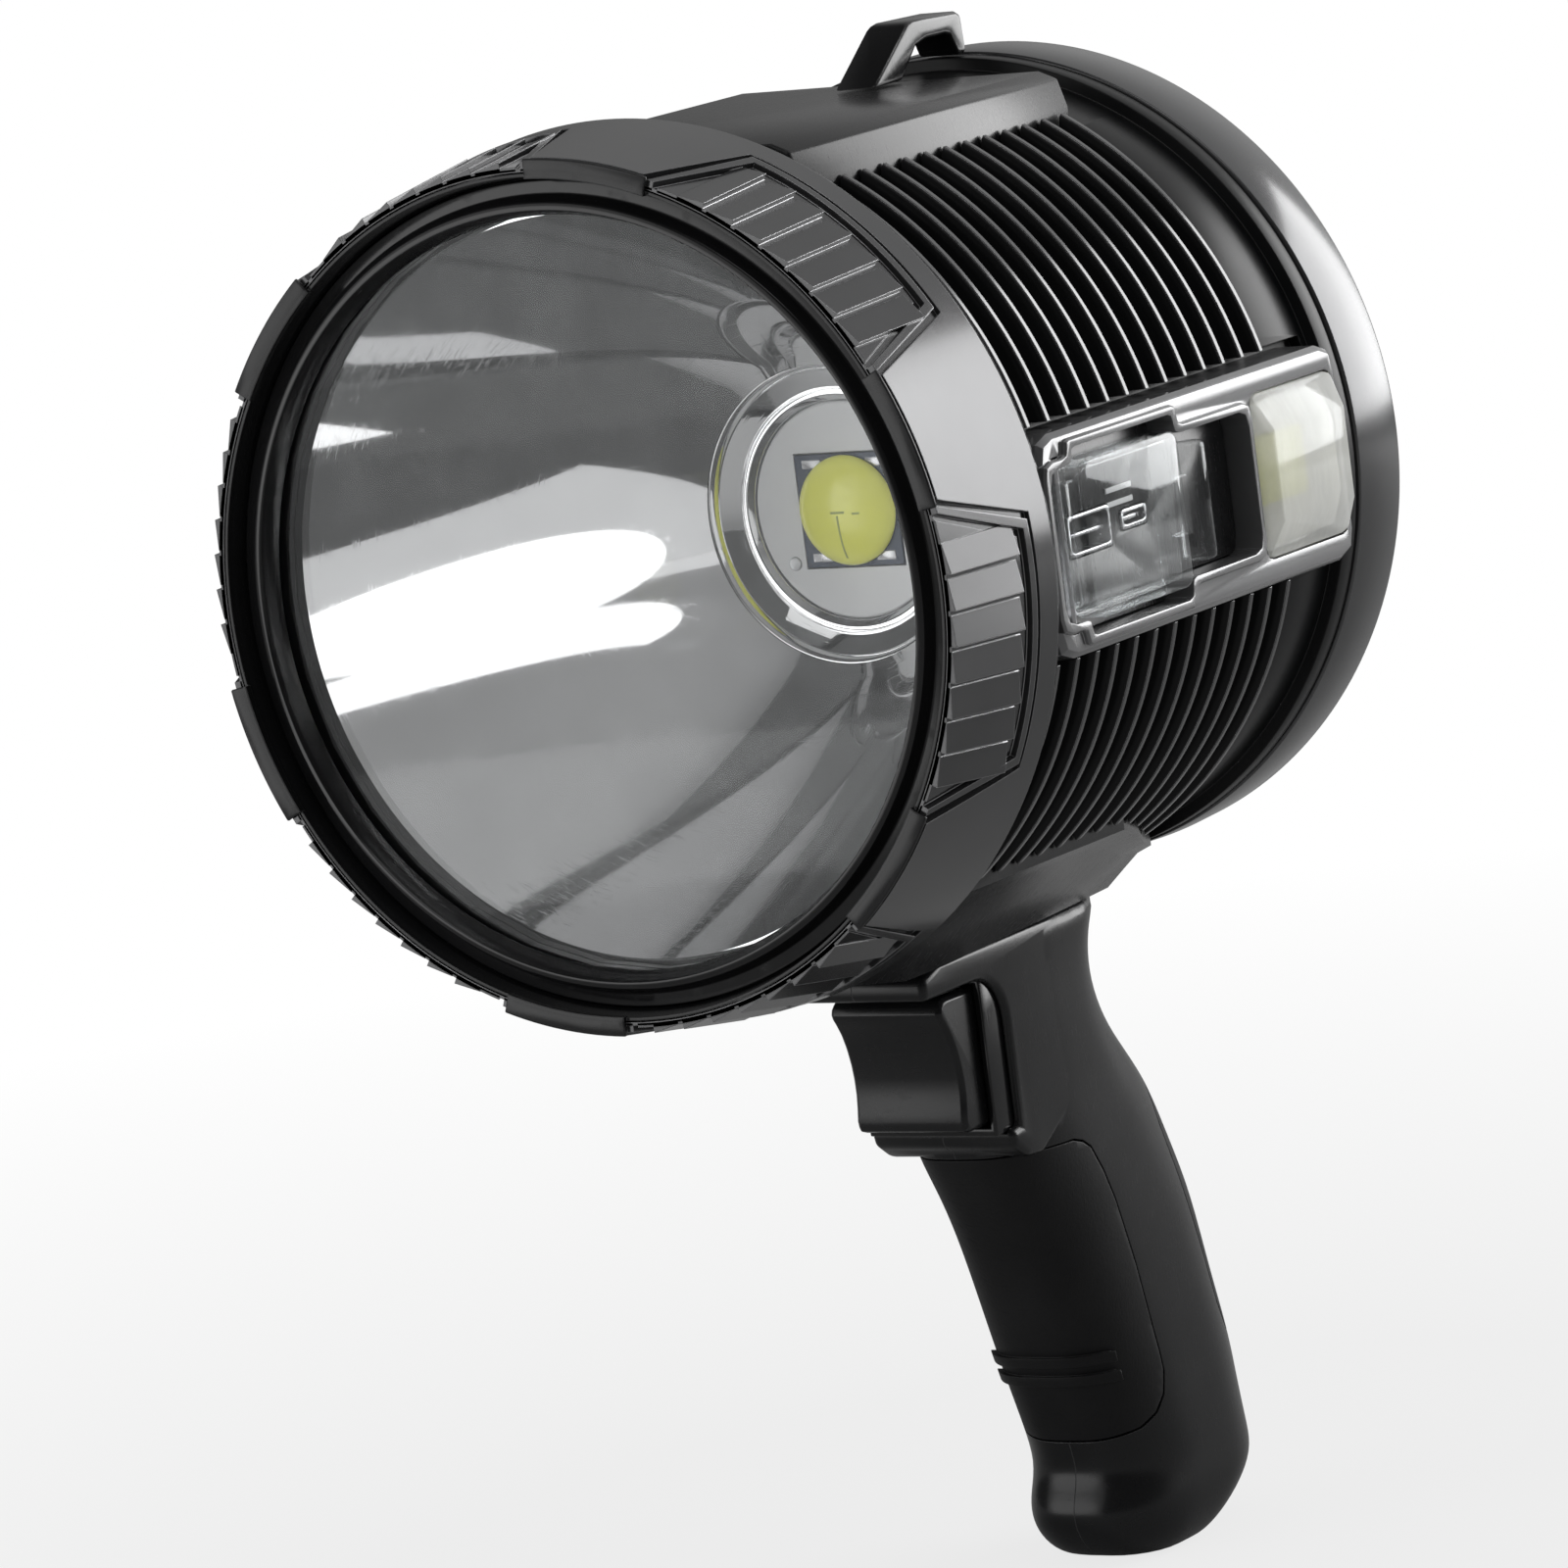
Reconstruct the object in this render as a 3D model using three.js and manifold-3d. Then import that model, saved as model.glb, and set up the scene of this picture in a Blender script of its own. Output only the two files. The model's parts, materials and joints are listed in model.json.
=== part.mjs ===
// Handheld searchlight: a round finned lamp head with a screw-on bezel, carried on a moulded pistol grip.
// Lengths are millimetres. The beam leaves along -Y, X is across and Z is up.
// Inside the head a station is a distance behind the front rim, and heights are taken from the beam axis.
import * as THREE from "three";
import { mergeVertices } from "three/addons/utils/BufferGeometryUtils.js";
import Module from "manifold-3d";

const wasm = await Module();
wasm.setup();

// Fits and smoothness
const seat = 0.3; // gap between pieces that touch
const slack = 0.5; // gap round a piece that moves
const overrun = 3; // how far a cutter runs past what it cuts
const bite = 0.4; // how deep a raised detail is rooted in what carries it
const weld = 0.0005; // points nearer than this are one
const flatness = 0.002; // points this near to a face or edge through their neighbours are dropped
const turnSides = 32;
const innerSides = 20; // pieces that are hidden inside
const smallSides = 8;
const cornerSteps = 2;
const cornerShare = 0.46; // most of an edge that one rounded corner takes

// Barrel
const barrelBore = 65.8; // inner radius
const barrelWall = 3;
const neckHeight = 2.4; // threaded neck above the barrel's root
const mouthStep = 2.8; // front counterbore that takes lens, seal and reflector
const finHeight = 4.7;
const finPitch = 6.56;
const finCount = 13;
const finFoot = 4.9; // fin width at the root
const finCrest = 2.3; // fin width at the crest
const firstFinGap = 6.8; // from the bezel's rear edge to the middle of the first fin
const stripGap = 1.4; // from the last fin to the plain strip
const stripHeight = 2.2;
const stripLength = 15.5;
const ridgeHeight = 4.4;
const ridgeWidth = 4.1;
const ridgeGap = 0.4;

// Front stack
const openingInset = 1.3; // lens opening inside the barrel's bore
const rebateFloor = 5.3; // station of the lens rebate's floor
const rebateDepth = 1.4;
const lensThickness = 3;
const sealThickness = 2;
const sealWidth = 2.5;
const flangeThickness = 1.5;

// Bezel ring, trim ring and retainer
const threadGap = 0.4;
const bezelWall = 3.4;
const bezelFlare = 2.7;
const bezelLength = 28.7;
const bezelEdge = 1.3; // rounding of the rear edge
const trimSeatStep = 1; // the trim ring's seat is this much wider than the bezel's bore
const trimWall = 1.3;
const trimLip = 0.5;
const trimDepth = 4.5;
const toothForward = 1;
const toothEdge = 0.5;
const retainerCrest = 1;
const retainerCrestWidth = 1.4;
const retainerValley = 3.8;
const retainerValleyWidth = 2.4;
const gripCount = 6; // pads and teeth round the bezel
const padAngle = 49.5; // middle of the first pad
const toothAngle = 19.5; // middle of the first tooth
const toothHalfAngle = 9.5;
const padFrontHalfAngle = 21.5;
const padRearHalfAngle = 16.5;
const padLength = 22.5;
const padFrontWall = 0.9;
const padRearDepth = 0.7;
const padGroove = 1.05; // width of the groove each side of the raised border
const padGrooveDepth = 0.35;
const padBorder = 1.3;
const padBorderHeight = 0.8;
const ribCount = 7;
const ribPitchAngle = 4.7;
const ribHeight = 0.85;
const ribRampShare = 0.86;
const ribEndGap = 1.2;
const shortestRibShare = 0.2; // of the field's length, at the slanted ends

// Reflector, emitter and heat sink
const reflectorDepth = 70.8;
const reflectorWall = 1.5;
const reflectorInset = 1.8; // mouth of the bowl inside the barrel's bore
const throatRadius = 26.5;
const bowlSteps = 6;
const collarWidth = 8.4;
const collarDepth = 5.9;
const plateThickness = 1.4;
const emitterBoardSize = 20;
const emitterBoardThickness = 1.6;
const domeRadius = 9.8;
const domeHeight = 3.8;
const domeSides = 24;
const pedestalRadius = 28.5;
const pedestalHeight = 3.5;
const sinkThickness = 4;
const sinkFinHeight = 7;
const sinkFinThickness = 3;
const sinkFinPitch = 14;
const driverThickness = 1.6;
const driverInset = 5.5; // driver board's rim inside the barrel's bore

// Battery
const cellRadius = 9.2;
const cellLength = 65;
const cellGap = 0.8;
const cellCount = 4;
const cellSides = 16;
const trayWall = 1.8;
const trayFloor = 2.4;
const trayGrip = 6; // how far each cell stands in its tray

// Rear ring and cover
const rearRingLength = 15.5;
const rearRingProud = 0.4; // above the barrel's ridge
const rearRingCrown = 0.3;
const rearRingEdge = 1;
const rearBoreStep = 0.4;
const rearLedgeWidth = 10;
const rearLedgeThickness = 3;
const rearLedgeStation = 6; // behind the ring's front face
const rearSealWidth = 2.6;
const rearSealThickness = 1.2;
const rearCoverThickness = 3.6;
const rearScrewInset = 6.4; // inside the ring's bore
const rearScrewCount = 4;
const rearScrewAngle = 45; // place of the first
const screwHead = 2.8;
const screwShank = 1.4;
const screwHeadDepth = 1.8;
const screwLength = 6;
const screwSlack = 0.3;

// Top rail and strap loop
const railHalfWidth = 36;
const railTopHalfWidth = 31;
const railProud = 2.4; // flat top above the barrel's root
const railShoulder = 1.5;
const railFrontGap = 0.7;
const loopHalfWidth = 4.2;
const loopHeight = 10;
const loopReach = 32; // from its front foot to its rear face
const loopBevel = 0.5;
// Along the loop as a share of its reach, and up as a share of its height
const loopOuterShares = [[0, 0], [0.39, 0.91], [0.43, 0.97], [0.485, 1], [0.94, 0.97], [0.985, 0.9], [1, 0.2]];
const loopInnerShares = [[0.905, 0.2], [0.845, 0.58], [0.8, 0.61], [0.6, 0.61], [0.49, 0.53], [0.305, 0]];

// Side panel, ports and side light
const panelProud = 6.4; // face above the barrel's root
const panelHalfHeight = 19;
const panelFrontGap = 1.3;
const panelTail = 2.4; // panel behind the light's lens
const panelCorner = 5;
const panelBevel = 1;
const panelRootShare = 0.85; // where its hidden back starts, in barrel root radii
const rimWidth = 1.5;
const rimHeight = 1.1;
const zoneGap = 1.2; // from a rail, panel or saddle to the fins' ends
const hingeHalf = 13.2; // half height of the opening at the hinge
const portHalf = 16;
const recessHalf = 12.4;
const hingeSpan = 7.6;
const portSpan = 34;
const recessSpan = 25;
const openingFront = 1.2;
const openingCorner = 3;
const trayThickness = 2;
const coverHalf = 13.5;
const coverLength = 32;
const coverLift = 0.8; // its rim above the tray
const coverHeight = 5.6;
const coverWall = 1.5;
const coverCorner = 2.6;
const coverSetback = 4.7; // from the hinge pin to the cover's box
const knuckleRadius = 2.4;
const pinRadius = 1;
const pinDrop = 0.6; // pin's axis below the panel's face
const knuckleHalf = 10.5;
const pinReach = 1.5; // pin in the panel's wall at each end
const pullRadius = 3;
const pullHalf = 10.2;
const pullReach = 7.4; // from the box to the pull bar
const webThickness = 1.8;
const socketDepth = 8.6;
const socketWall = 0.7;
const powerSocketLength = 14;
const powerSocketHeight = 7;
const chargeSocketLength = 8.6;
const chargeSocketHeight = 3.4;
const socketCorner = 0.9;
const socketGap = 3.4; // between the two sockets
const chargeBoardThickness = 1.6;
const chargeBoardHalf = 13.5;
const chargeBoardLength = 46;
const lightSetback = 3; // panel bar between port opening and light
const lightLength = 28;
const lightHalf = 14.3;
const lightFaceHalf = 8;
const lightProud = 3.1;
const lightWall = 1.6;
const lightCorner = 2;
const lightBoardThickness = 1.2;
const lightChipThickness = 0.9;
const lightChipLengthShare = 0.62;
const lightChipHeightShare = 0.42;

// Saddle
const saddleHalfWidth = 45;
const saddleProud = 5.6;
const saddleDrop = 9.2; // underside below the barrel's root
const saddleFrontGap = 1;
const saddleRootShare = 0.72;
// Station as a share of the saddle's length, half width at the top edge, half width of the underside
// (both as shares of the half width) and how far down the underside is, as a share of the drop
const saddleShares = [
  [0, 1, 0.48, 0.44],
  [0.1, 1, 0.48, 0.7],
  [0.22, 1, 0.46, 0.95],
  [0.36, 1, 0.43, 1],
  [0.57, 1, 0.39, 1],
  [0.68, 0.9, 0.37, 1],
  [0.8, 0.74, 0.345, 1],
  [0.95, 0.55, 0.325, 0.97],
];
const saddleFlankShares = [[0.3, 0.18], [0.62, 0.55]]; // points of its flank, across and down

// Grip
const gripHeight = 122.2;
const gripDepth = 52;
const gripHalfWidth = 16;
const gripWall = 4;
const gripLeanShare = 0.315; // run along the beam for each unit of drop
const gripStationShare = 0.754; // middle of the grip's top along the saddle
const gripSides = 16;
const hollowSides = 10;
// Down the grip as a share of its height, front and rear from the leaning middle as shares of its depth,
// half width as a share of the half width, and squareness share (1 a rectangle, 0 an ellipse)
const gripShares = [
  [0, -0.306, 0.521, 0.97, 0.6],
  [0.03, -0.329, 0.417, 0.96, 0.6],
  [0.067, -0.356, 0.348, 0.95, 0.6],
  [0.12, -0.385, 0.294, 0.95, 0.58],
  [0.186, -0.444, 0.315, 0.95, 0.55],
  [0.243, -0.521, 0.398, 0.95, 0.45],
  [0.296, -0.594, 0.471, 0.96, 0.36],
  [0.349, -0.579, 0.496, 0.97, 0.3],
  [0.407, -0.531, 0.508, 0.98, 0.27],
  [0.493, -0.494, 0.527, 1, 0.25],
  [0.619, -0.485, 0.494, 1, 0.23],
  [0.718, -0.475, 0.488, 1, 0.23],
  [0.791, -0.454, 0.446, 1, 0.23],
  [0.857, -0.448, 0.417, 1, 0.23],
  [0.898, -0.537, 0.406, 1.02, 0.23],
  [0.93, -0.573, 0.34, 1, 0.23],
  [0.963, -0.552, 0.202, 0.9, 0.23],
  [0.988, -0.492, 0.083, 0.75, 0.2],
  [1, -0.421, -0.037, 0.56, 0.15],
];
const roofHalfWidth = 14.6;
const roofThickness = 6.2;
const roofReach = 28; // forward of the grip's front
const roofCorner = 3;
const insertThickness = 2;
const insertRidge = 0.9;
const insertGap = 5.6; // from the trigger's guide to the insert below it
// Outlines on the grip: down from the insert's top as a share of the grip below it, or down as a share of the
// grip's height, and along as a share of its depth from the leaning middle
const insertShares = [
  [0, -0.95], [0, -0.27], [0.03, -0.19], [0.163, -0.15], [0.322, -0.152], [0.469, -0.167],
  [0.575, -0.178], [0.634, -0.215], [0.693, -0.322], [0.716, -0.464], [0.724, -0.95],
];
const stripShares = [
  [0.24, 1], [0.24, 0.57], [0.28, 0.39], [0.372, 0.311], [0.477, 0.31], [0.591, 0.313], [0.664, 0.307],
  [0.709, 0.337], [0.732, 0.446], [0.745, 1],
];
const ridgeRowShares = [0.5, 0.546]; // down, as in the insert's outline
const ridgeThicknessShare = 0.025;
const ridgeReachShare = -0.37;
const tongueHalf = 4;
const bossRadius = 4;
// Places of the grip screws: down and along, as above
const gripScrewShares = [[0.1, 0.09], [0.31, 0.16], [0.6, 0.02], [0.86, 0.02]];

// Trigger, its guide and its switch
const triggerTravel = 4;
const triggerHalfWidth = 11.5;
const triggerHeight = 25;
const triggerDepth = 15;
const triggerBevel = 0.8;
const triggerCorner = 2.4;
const triggerTopGap = 1.6;
// Forward face and back of the trigger: along as a share of its depth, down as a share of its height
const triggerShares = [
  [0.12, 0], [0, 0.1], [0.2, 0.27], [0.32, 0.5], [0.35, 0.72], [0.27, 1], [1, 1], [1, 0],
];
const guideWall = 1.4;
const guideBack = 2.3;
const guideHood = 8; // how far its cheeks reach forward of its back
const switchHalfWidth = 5;
const switchHeight = 12;
const switchDepth = 9;
const plungerRadius = 1.8;
const plungerReach = 9.4;
const plungerShare = 0.5; // down the trigger

// Radii and stations that follow
const rootRadius = barrelBore + barrelWall;
const neckRadius = rootRadius + neckHeight;
const mouthRadius = barrelBore + mouthStep;
const crestRadius = rootRadius + finHeight;
const openingRadius = barrelBore - openingInset;
const bezelBore = neckRadius + threadGap;
const bezelRadius = bezelBore + bezelWall;
const bezelRearRadius = bezelRadius + bezelFlare;
const trimSeat = bezelBore + trimSeatStep;
const trimOuter = trimSeat - seat;
const trimInner = trimOuter - trimWall;

const retainerRear = rebateFloor + rebateDepth;
const barrelFront = retainerRear + seat;
const lensFront = rebateFloor + seat;
const lensRear = lensFront + lensThickness;
const sealFront = lensRear + seat;
const sealRear = sealFront + sealThickness;
const flangeFront = sealRear + seat;
const flangeRear = flangeFront + flangeThickness;
const mouthFloor = flangeRear + seat;
const firstFin = bezelLength + firstFinGap;
const finBandRear = firstFin + (finCount - 1) * finPitch + finFoot / 2;
const stripStart = finBandRear + stripGap;
const ridgeFront = stripStart + stripLength;
const barrelRear = ridgeFront + ridgeWidth + ridgeGap;
const stripRadius = rootRadius + stripHeight;
const ridgeRadius = rootRadius + ridgeHeight;

// Materials
function paint(color, roughness, metalness = 0, opacity = 1) {
  return new THREE.MeshStandardMaterial({ color, roughness, metalness, opacity, transparent: opacity < 1 });
}
const blackPlastic = paint(0x17181a, 0.5);
const glossBlack = paint(0x0d0d0f, 0.22);
const satinMetal = paint(0x77797c, 0.34, 0.85);
const softRubber = paint(0x1b1c1e, 0.78);
const clearPlastic = paint(0xdfe7ea, 0.06, 0, 0.35);
const mirrorMetal = paint(0xd9dadc, 0.1, 1);
const castAluminium = paint(0xa7aaad, 0.42, 0.9);
const paleEnamel = paint(0xd6d7d8, 0.4, 0.1);
const boardBlue = paint(0x22303f, 0.5);
const boardGreen = paint(0x1f5a3a, 0.5);
const phosphor = paint(0xccd64a, 0.45);
const cellWrap = paint(0x2d62a8, 0.35);
const steel = paint(0x9b9da0, 0.3, 0.9);

// Solids
// Turns a closed geometry into a solid that faces outwards.
function solidOf(geometry) {
  const bare = geometry.index ? geometry.toNonIndexed() : geometry.clone();
  for (const name of Object.keys(bare.attributes)) if (name !== "position") bare.deleteAttribute(name);
  const merged = mergeVertices(bare, weld);
  const corners = [];
  const index = merged.index.array;
  for (let i = 0; i < index.length; i += 3) {
    const [a, b, c] = [index[i], index[i + 1], index[i + 2]];
    if (a !== b && b !== c && c !== a) corners.push(a, b, c);
  }
  const make = (list) => new wasm.Manifold(new wasm.Mesh({
    numProp: 3,
    vertProperties: Float32Array.from(merged.attributes.position.array),
    triVerts: Uint32Array.from(list),
  }));
  const solid = make(corners);
  if (solid.volume() >= 0) return solid;
  const turned = [];
  for (let i = 0; i < corners.length; i += 3) turned.push(corners[i], corners[i + 2], corners[i + 1]);
  return make(turned);
}

// Turns a profile of [radius, station] points about the beam axis.
function revolve(profile, sides = turnSides) {
  const points = profile.map(([radius, station]) => new THREE.Vector2(radius, station));
  if (profile[0][0] !== 0) points.push(points[0].clone());
  return solidOf(new THREE.LatheGeometry(points, sides));
}

// Shape through the points, with rounded corners.
function outlineOf(points, radius = 0) {
  const shape = new THREE.Shape();
  const corners = points.map(([u, v]) => new THREE.Vector2(u, v));
  corners.forEach((corner, i) => {
    const before = corners.at(i - 1);
    const after = corners[(i + 1) % corners.length];
    const room = Math.min(corner.distanceTo(before), corner.distanceTo(after)) * cornerShare;
    const cut = Math.min(radius, room);
    const from = corner.clone().add(before.clone().sub(corner).setLength(cut));
    const to = corner.clone().add(after.clone().sub(corner).setLength(cut));
    if (i === 0) shape.moveTo(from.x, from.y);
    else shape.lineTo(from.x, from.y);
    if (radius > 0) shape.quadraticCurveTo(corner.x, corner.y, to.x, to.y);
  });
  shape.closePath();
  return shape;
}

// Outline drawn in by a distance, corner by corner.
function drawnIn(points, distance) {
  const corners = points.map(([u, v]) => new THREE.Vector2(u, v));
  const turn = Math.sign(THREE.ShapeUtils.area(corners));
  return corners.map((corner, i) => {
    const before = corner.clone().sub(corners.at(i - 1)).normalize();
    const after = corners[(i + 1) % corners.length].clone().sub(corner).normalize();
    const inward = new THREE.Vector2(-before.y - after.y, before.x + after.x).divideScalar(1 + before.dot(after));
    return corner.clone().addScaledVector(inward, turn * distance).toArray();
  });
}

const across = new THREE.Vector3(1, 0, 0);
const along = new THREE.Vector3(0, 1, 0);
const up = new THREE.Vector3(0, 0, 1);
// Outlines are [station, height] for x, [across, height] for y and [across, station] for z
const frames = {
  x: new THREE.Matrix4().makeBasis(along, up, across),
  y: new THREE.Matrix4().makeBasis(across, up, along),
  z: new THREE.Matrix4(),
};

// Prism of an outline between two places along an axis.
function prism(axis, points, from, to, { radius = 0, bevel = 0 } = {}) {
  const geometry = new THREE.ExtrudeGeometry(outlineOf(points, radius), {
    depth: to - from - 2 * bevel,
    bevelEnabled: bevel > 0,
    bevelThickness: bevel,
    bevelSize: bevel,
    bevelOffset: -bevel,
    bevelSegments: 1,
    curveSegments: cornerSteps,
  });
  geometry.translate(0, 0, from + bevel);
  return solidOf(geometry.applyMatrix4(frames[axis]));
}

function rectangle(u0, u1, v0, v1) {
  return [[u0, v0], [u1, v0], [u1, v1], [u0, v1]];
}

function block(x0, x1, y0, y1, z0, z1) {
  const geometry = new THREE.BoxGeometry(x1 - x0, y1 - y0, z1 - z0);
  return solidOf(geometry.translate((x0 + x1) / 2, (y0 + y1) / 2, (z0 + z1) / 2));
}

// Round bar along an axis through a point given by its other two places, in the order of the outlines.
function bar(axis, radius, from, to, [u, v], sides = smallSides) {
  const geometry = new THREE.CylinderGeometry(radius, radius, to - from, sides);
  geometry.rotateX(Math.PI / 2).translate(u, v, (from + to) / 2);
  return solidOf(geometry.applyMatrix4(frames[axis]));
}

// Skin through rings of points, closed by a flat fan at each end.
function loft(rings) {
  const points = rings.flat();
  const size = rings[0].length;
  const faces = [];
  for (let ring = 0; ring + 1 < rings.length; ring += 1) {
    for (let i = 0; i < size; i += 1) {
      const a = ring * size + i;
      const b = ring * size + ((i + 1) % size);
      faces.push(a, b, b + size, a, b + size, a + size);
    }
  }
  const middle = (ring) => ring.reduce((sum, p) => sum.add(p), new THREE.Vector3()).divideScalar(size);
  const last = (rings.length - 1) * size;
  points.push(middle(rings[0]), middle(rings.at(-1)));
  for (let i = 0; i < size; i += 1) {
    const next = (i + 1) % size;
    faces.push(points.length - 2, next, i, points.length - 1, last + i, last + next);
  }
  const geometry = new THREE.BufferGeometry();
  geometry.setAttribute("position", new THREE.Float32BufferAttribute(points.flatMap((p) => p.toArray()), 3));
  geometry.setIndex(faces);
  return solidOf(geometry);
}

const radians = THREE.MathUtils.degToRad;
const mix = THREE.MathUtils.lerp;

// Point at a radius and an angle about the beam axis, where 0 is the panel's side and 90 is up.
function polar(radius, station, angle) {
  return new THREE.Vector3(radius * Math.cos(radians(angle)), station, radius * Math.sin(radians(angle)));
}

function geometryOf(solid) {
  const mesh = solid.simplify(flatness).getMesh();
  const geometry = new THREE.BufferGeometry();
  geometry.setAttribute("position", new THREE.Float32BufferAttribute(mesh.vertProperties, 3));
  geometry.setIndex(new THREE.Uint32BufferAttribute(mesh.triVerts, 1));
  geometry.computeVertexNormals();
  return geometry;
}

const head = new THREE.Group();
const handle = new THREE.Group();
function piece(name, solid, material, group = head) {
  const mesh = new THREE.Mesh(geometryOf(solid), material);
  mesh.name = name;
  group.add(mesh);
  return solid;
}

// Bezel ring
// Its grip pads are scooped from a flared ring: a groove, a raised border, a groove and a ribbed field.
const padFieldLength = padLength - 2 * padGroove - padBorder;
function bezelSkin(station) {
  return bezelRadius + (bezelFlare * station) / bezelLength;
}
function padField(station) {
  const front = trimSeat + padFrontWall;
  return mix(front, bezelSkin(padFieldLength) - padRearDepth, station / padFieldLength);
}
function padPatch(middle, inset, low, high) {
  const turn = THREE.MathUtils.radToDeg(inset / bezelRadius);
  const front = padFrontHalfAngle - turn;
  const rear = padRearHalfAngle - turn;
  const length = padLength - inset;
  const offsets = [-front, -rear, 0, rear, front];
  return loft(offsets.map((offset) => {
    const slope = Math.abs(offset) > rear ? (front - Math.abs(offset)) / (front - rear) : 1;
    const back = Math.max(length * slope, weld * 10);
    const start = -overrun;
    return [
      polar(padField(start) + low, start, middle + offset),
      polar(padField(start) + high, start, middle + offset),
      polar(padField(back) + high, back, middle + offset),
      polar(padField(back) + low, back, middle + offset),
    ];
  }));
}
function ribSolid(middle, ridge) {
  const turn = THREE.MathUtils.radToDeg((2 * padGroove + padBorder) / bezelRadius);
  const reach = padFieldLength - ribEndGap;
  const foot = ridge + ribPitchAngle * ribRampShare;
  const front = padFrontHalfAngle - turn;
  const rear = padRearHalfAngle - turn;
  const limit = (offset) => (Math.abs(offset) > rear ? (front - Math.abs(offset)) / (front - rear) : 1);
  return loft([[ridge, ribHeight], [foot, bite / 4]].map(([offset, height]) => {
    const back = reach * Math.min(Math.max(limit(offset), shortestRibShare), 1);
    return [
      polar(padField(-bite) - bite, -bite, middle + offset),
      polar(padField(-bite) + height, -bite, middle + offset),
      polar(padField(back) + height, back, middle + offset),
      polar(padField(back) - bite, back, middle + offset),
    ];
  }));
}
const padRoot = trimSeat + bite / 2;
let bezel = revolve([
  [trimSeat, 0],
  [bezelRadius, 0],
  [bezelSkin(bezelLength - bezelEdge), bezelLength - bezelEdge],
  [bezelRearRadius - bezelEdge / 2, bezelLength],
  [bezelBore, bezelLength],
  [bezelBore, trimDepth + seat],
  [trimSeat, trimDepth + seat],
]);
for (let k = 0; k < gripCount; k += 1) {
  const middle = padAngle + (k * 360) / gripCount;
  const clear = bezelFlare + bezelWall + overrun;
  const border = padPatch(middle, padGroove, -padGrooveDepth - bite, padBorderHeight)
    .subtract(padPatch(middle, padGroove + padBorder, -padGrooveDepth - 2 * bite, clear));
  const field = padPatch(middle, 2 * padGroove + padBorder, -padGrooveDepth - bite, 0);
  let pad = border.add(field);
  for (let i = 0; i < ribCount; i += 1) {
    pad = pad.add(ribSolid(middle, (i - ribCount / 2) * ribPitchAngle));
  }
  pad = pad.subtract(revolve([[0, -2 * overrun], [2 * bezelRadius, -2 * overrun], [2 * bezelRadius, 0], [0, 0]]))
    .subtract(revolve([[0, -overrun], [padRoot, -overrun], [padRoot, padLength], [0, padLength]]));
  bezel = bezel.subtract(padPatch(middle, 0, -padGrooveDepth, clear)).add(pad);
}
piece("bezel_ring", bezel, satinMetal);

// Trim ring with its teeth
let trim = revolve([
  [trimOuter - trimLip, 0],
  [trimOuter, 0],
  [trimOuter, trimDepth],
  [trimInner, trimDepth],
]);
const toothRoot = trimInner + bite;
const toothNeck = [
  [toothRoot, bite], [toothRoot, -toothForward], [trimOuter - bite, -toothForward], [trimOuter - bite, bite],
];
const toothFace = [
  [toothRoot, -seat], [toothRoot, -toothForward], [bezelRadius - toothEdge, -toothForward],
  [bezelRadius, toothEdge - toothForward], [bezelRadius, -seat],
];
for (let k = 0; k < gripCount; k += 1) {
  const middle = toothAngle + (k * 360) / gripCount;
  for (const section of [toothNeck, toothFace]) {
    trim = trim.add(loft([-1, 0, 1].map((step) => {
      return section.map(([radius, station]) => polar(radius, station, middle + step * toothHalfAngle));
    })));
  }
}
piece("bezel_trim", trim, blackPlastic);

// Lens retainer
piece("lens_retainer", revolve([
  [openingRadius, rebateFloor],
  [openingRadius + retainerCrestWidth, retainerCrest],
  [openingRadius + 2 * retainerCrestWidth, retainerCrest + retainerCrestWidth / 4],
  [trimInner - seat - retainerValleyWidth, retainerValley],
  [trimInner - seat, retainerValley],
  [trimInner - seat, retainerRear],
  [mouthRadius, retainerRear],
  [mouthRadius, rebateFloor],
]), glossBlack);

// Lens and its seal
const lensRadius = mouthRadius - seat;
piece("front_lens", revolve([[0, lensFront], [lensRadius, lensFront], [lensRadius, lensRear], [0, lensRear]]),
  clearPlastic);
piece("lens_seal", revolve([
  [lensRadius - sealWidth, sealFront], [lensRadius, sealFront], [lensRadius, sealRear],
  [lensRadius - sealWidth, sealRear],
]), softRubber);

// Reflector bowl
const reflectorRear = flangeFront + reflectorDepth;
const bowlMouth = barrelBore - reflectorInset;
function bowlRadius(station) {
  const share = (reflectorRear - station) / reflectorDepth;
  return Math.sqrt(throatRadius ** 2 + (bowlMouth ** 2 - throatRadius ** 2) * share);
}
const bowlStations = Array.from({ length: bowlSteps + 1 }, (_, i) => flangeFront + (reflectorDepth * i) / bowlSteps);
piece("reflector", revolve([
  ...bowlStations.map((station) => [bowlRadius(station), station]),
  ...bowlStations.filter((_, i) => i > 0 && i % 2 === 0).reverse().map((station) => [bowlRadius(station) + reflectorWall, station]),
  [bowlRadius(flangeRear) + reflectorWall, flangeRear],
  [lensRadius, flangeRear],
  [lensRadius, flangeFront],
]), mirrorMetal);

// Emitter: stepped collar, round plate, square board and dome
const collarFront = reflectorRear + seat;
const collarRear = collarFront + collarDepth;
const collarOuter = throatRadius + reflectorWall;
const collarInner = collarOuter - collarWidth;
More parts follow.
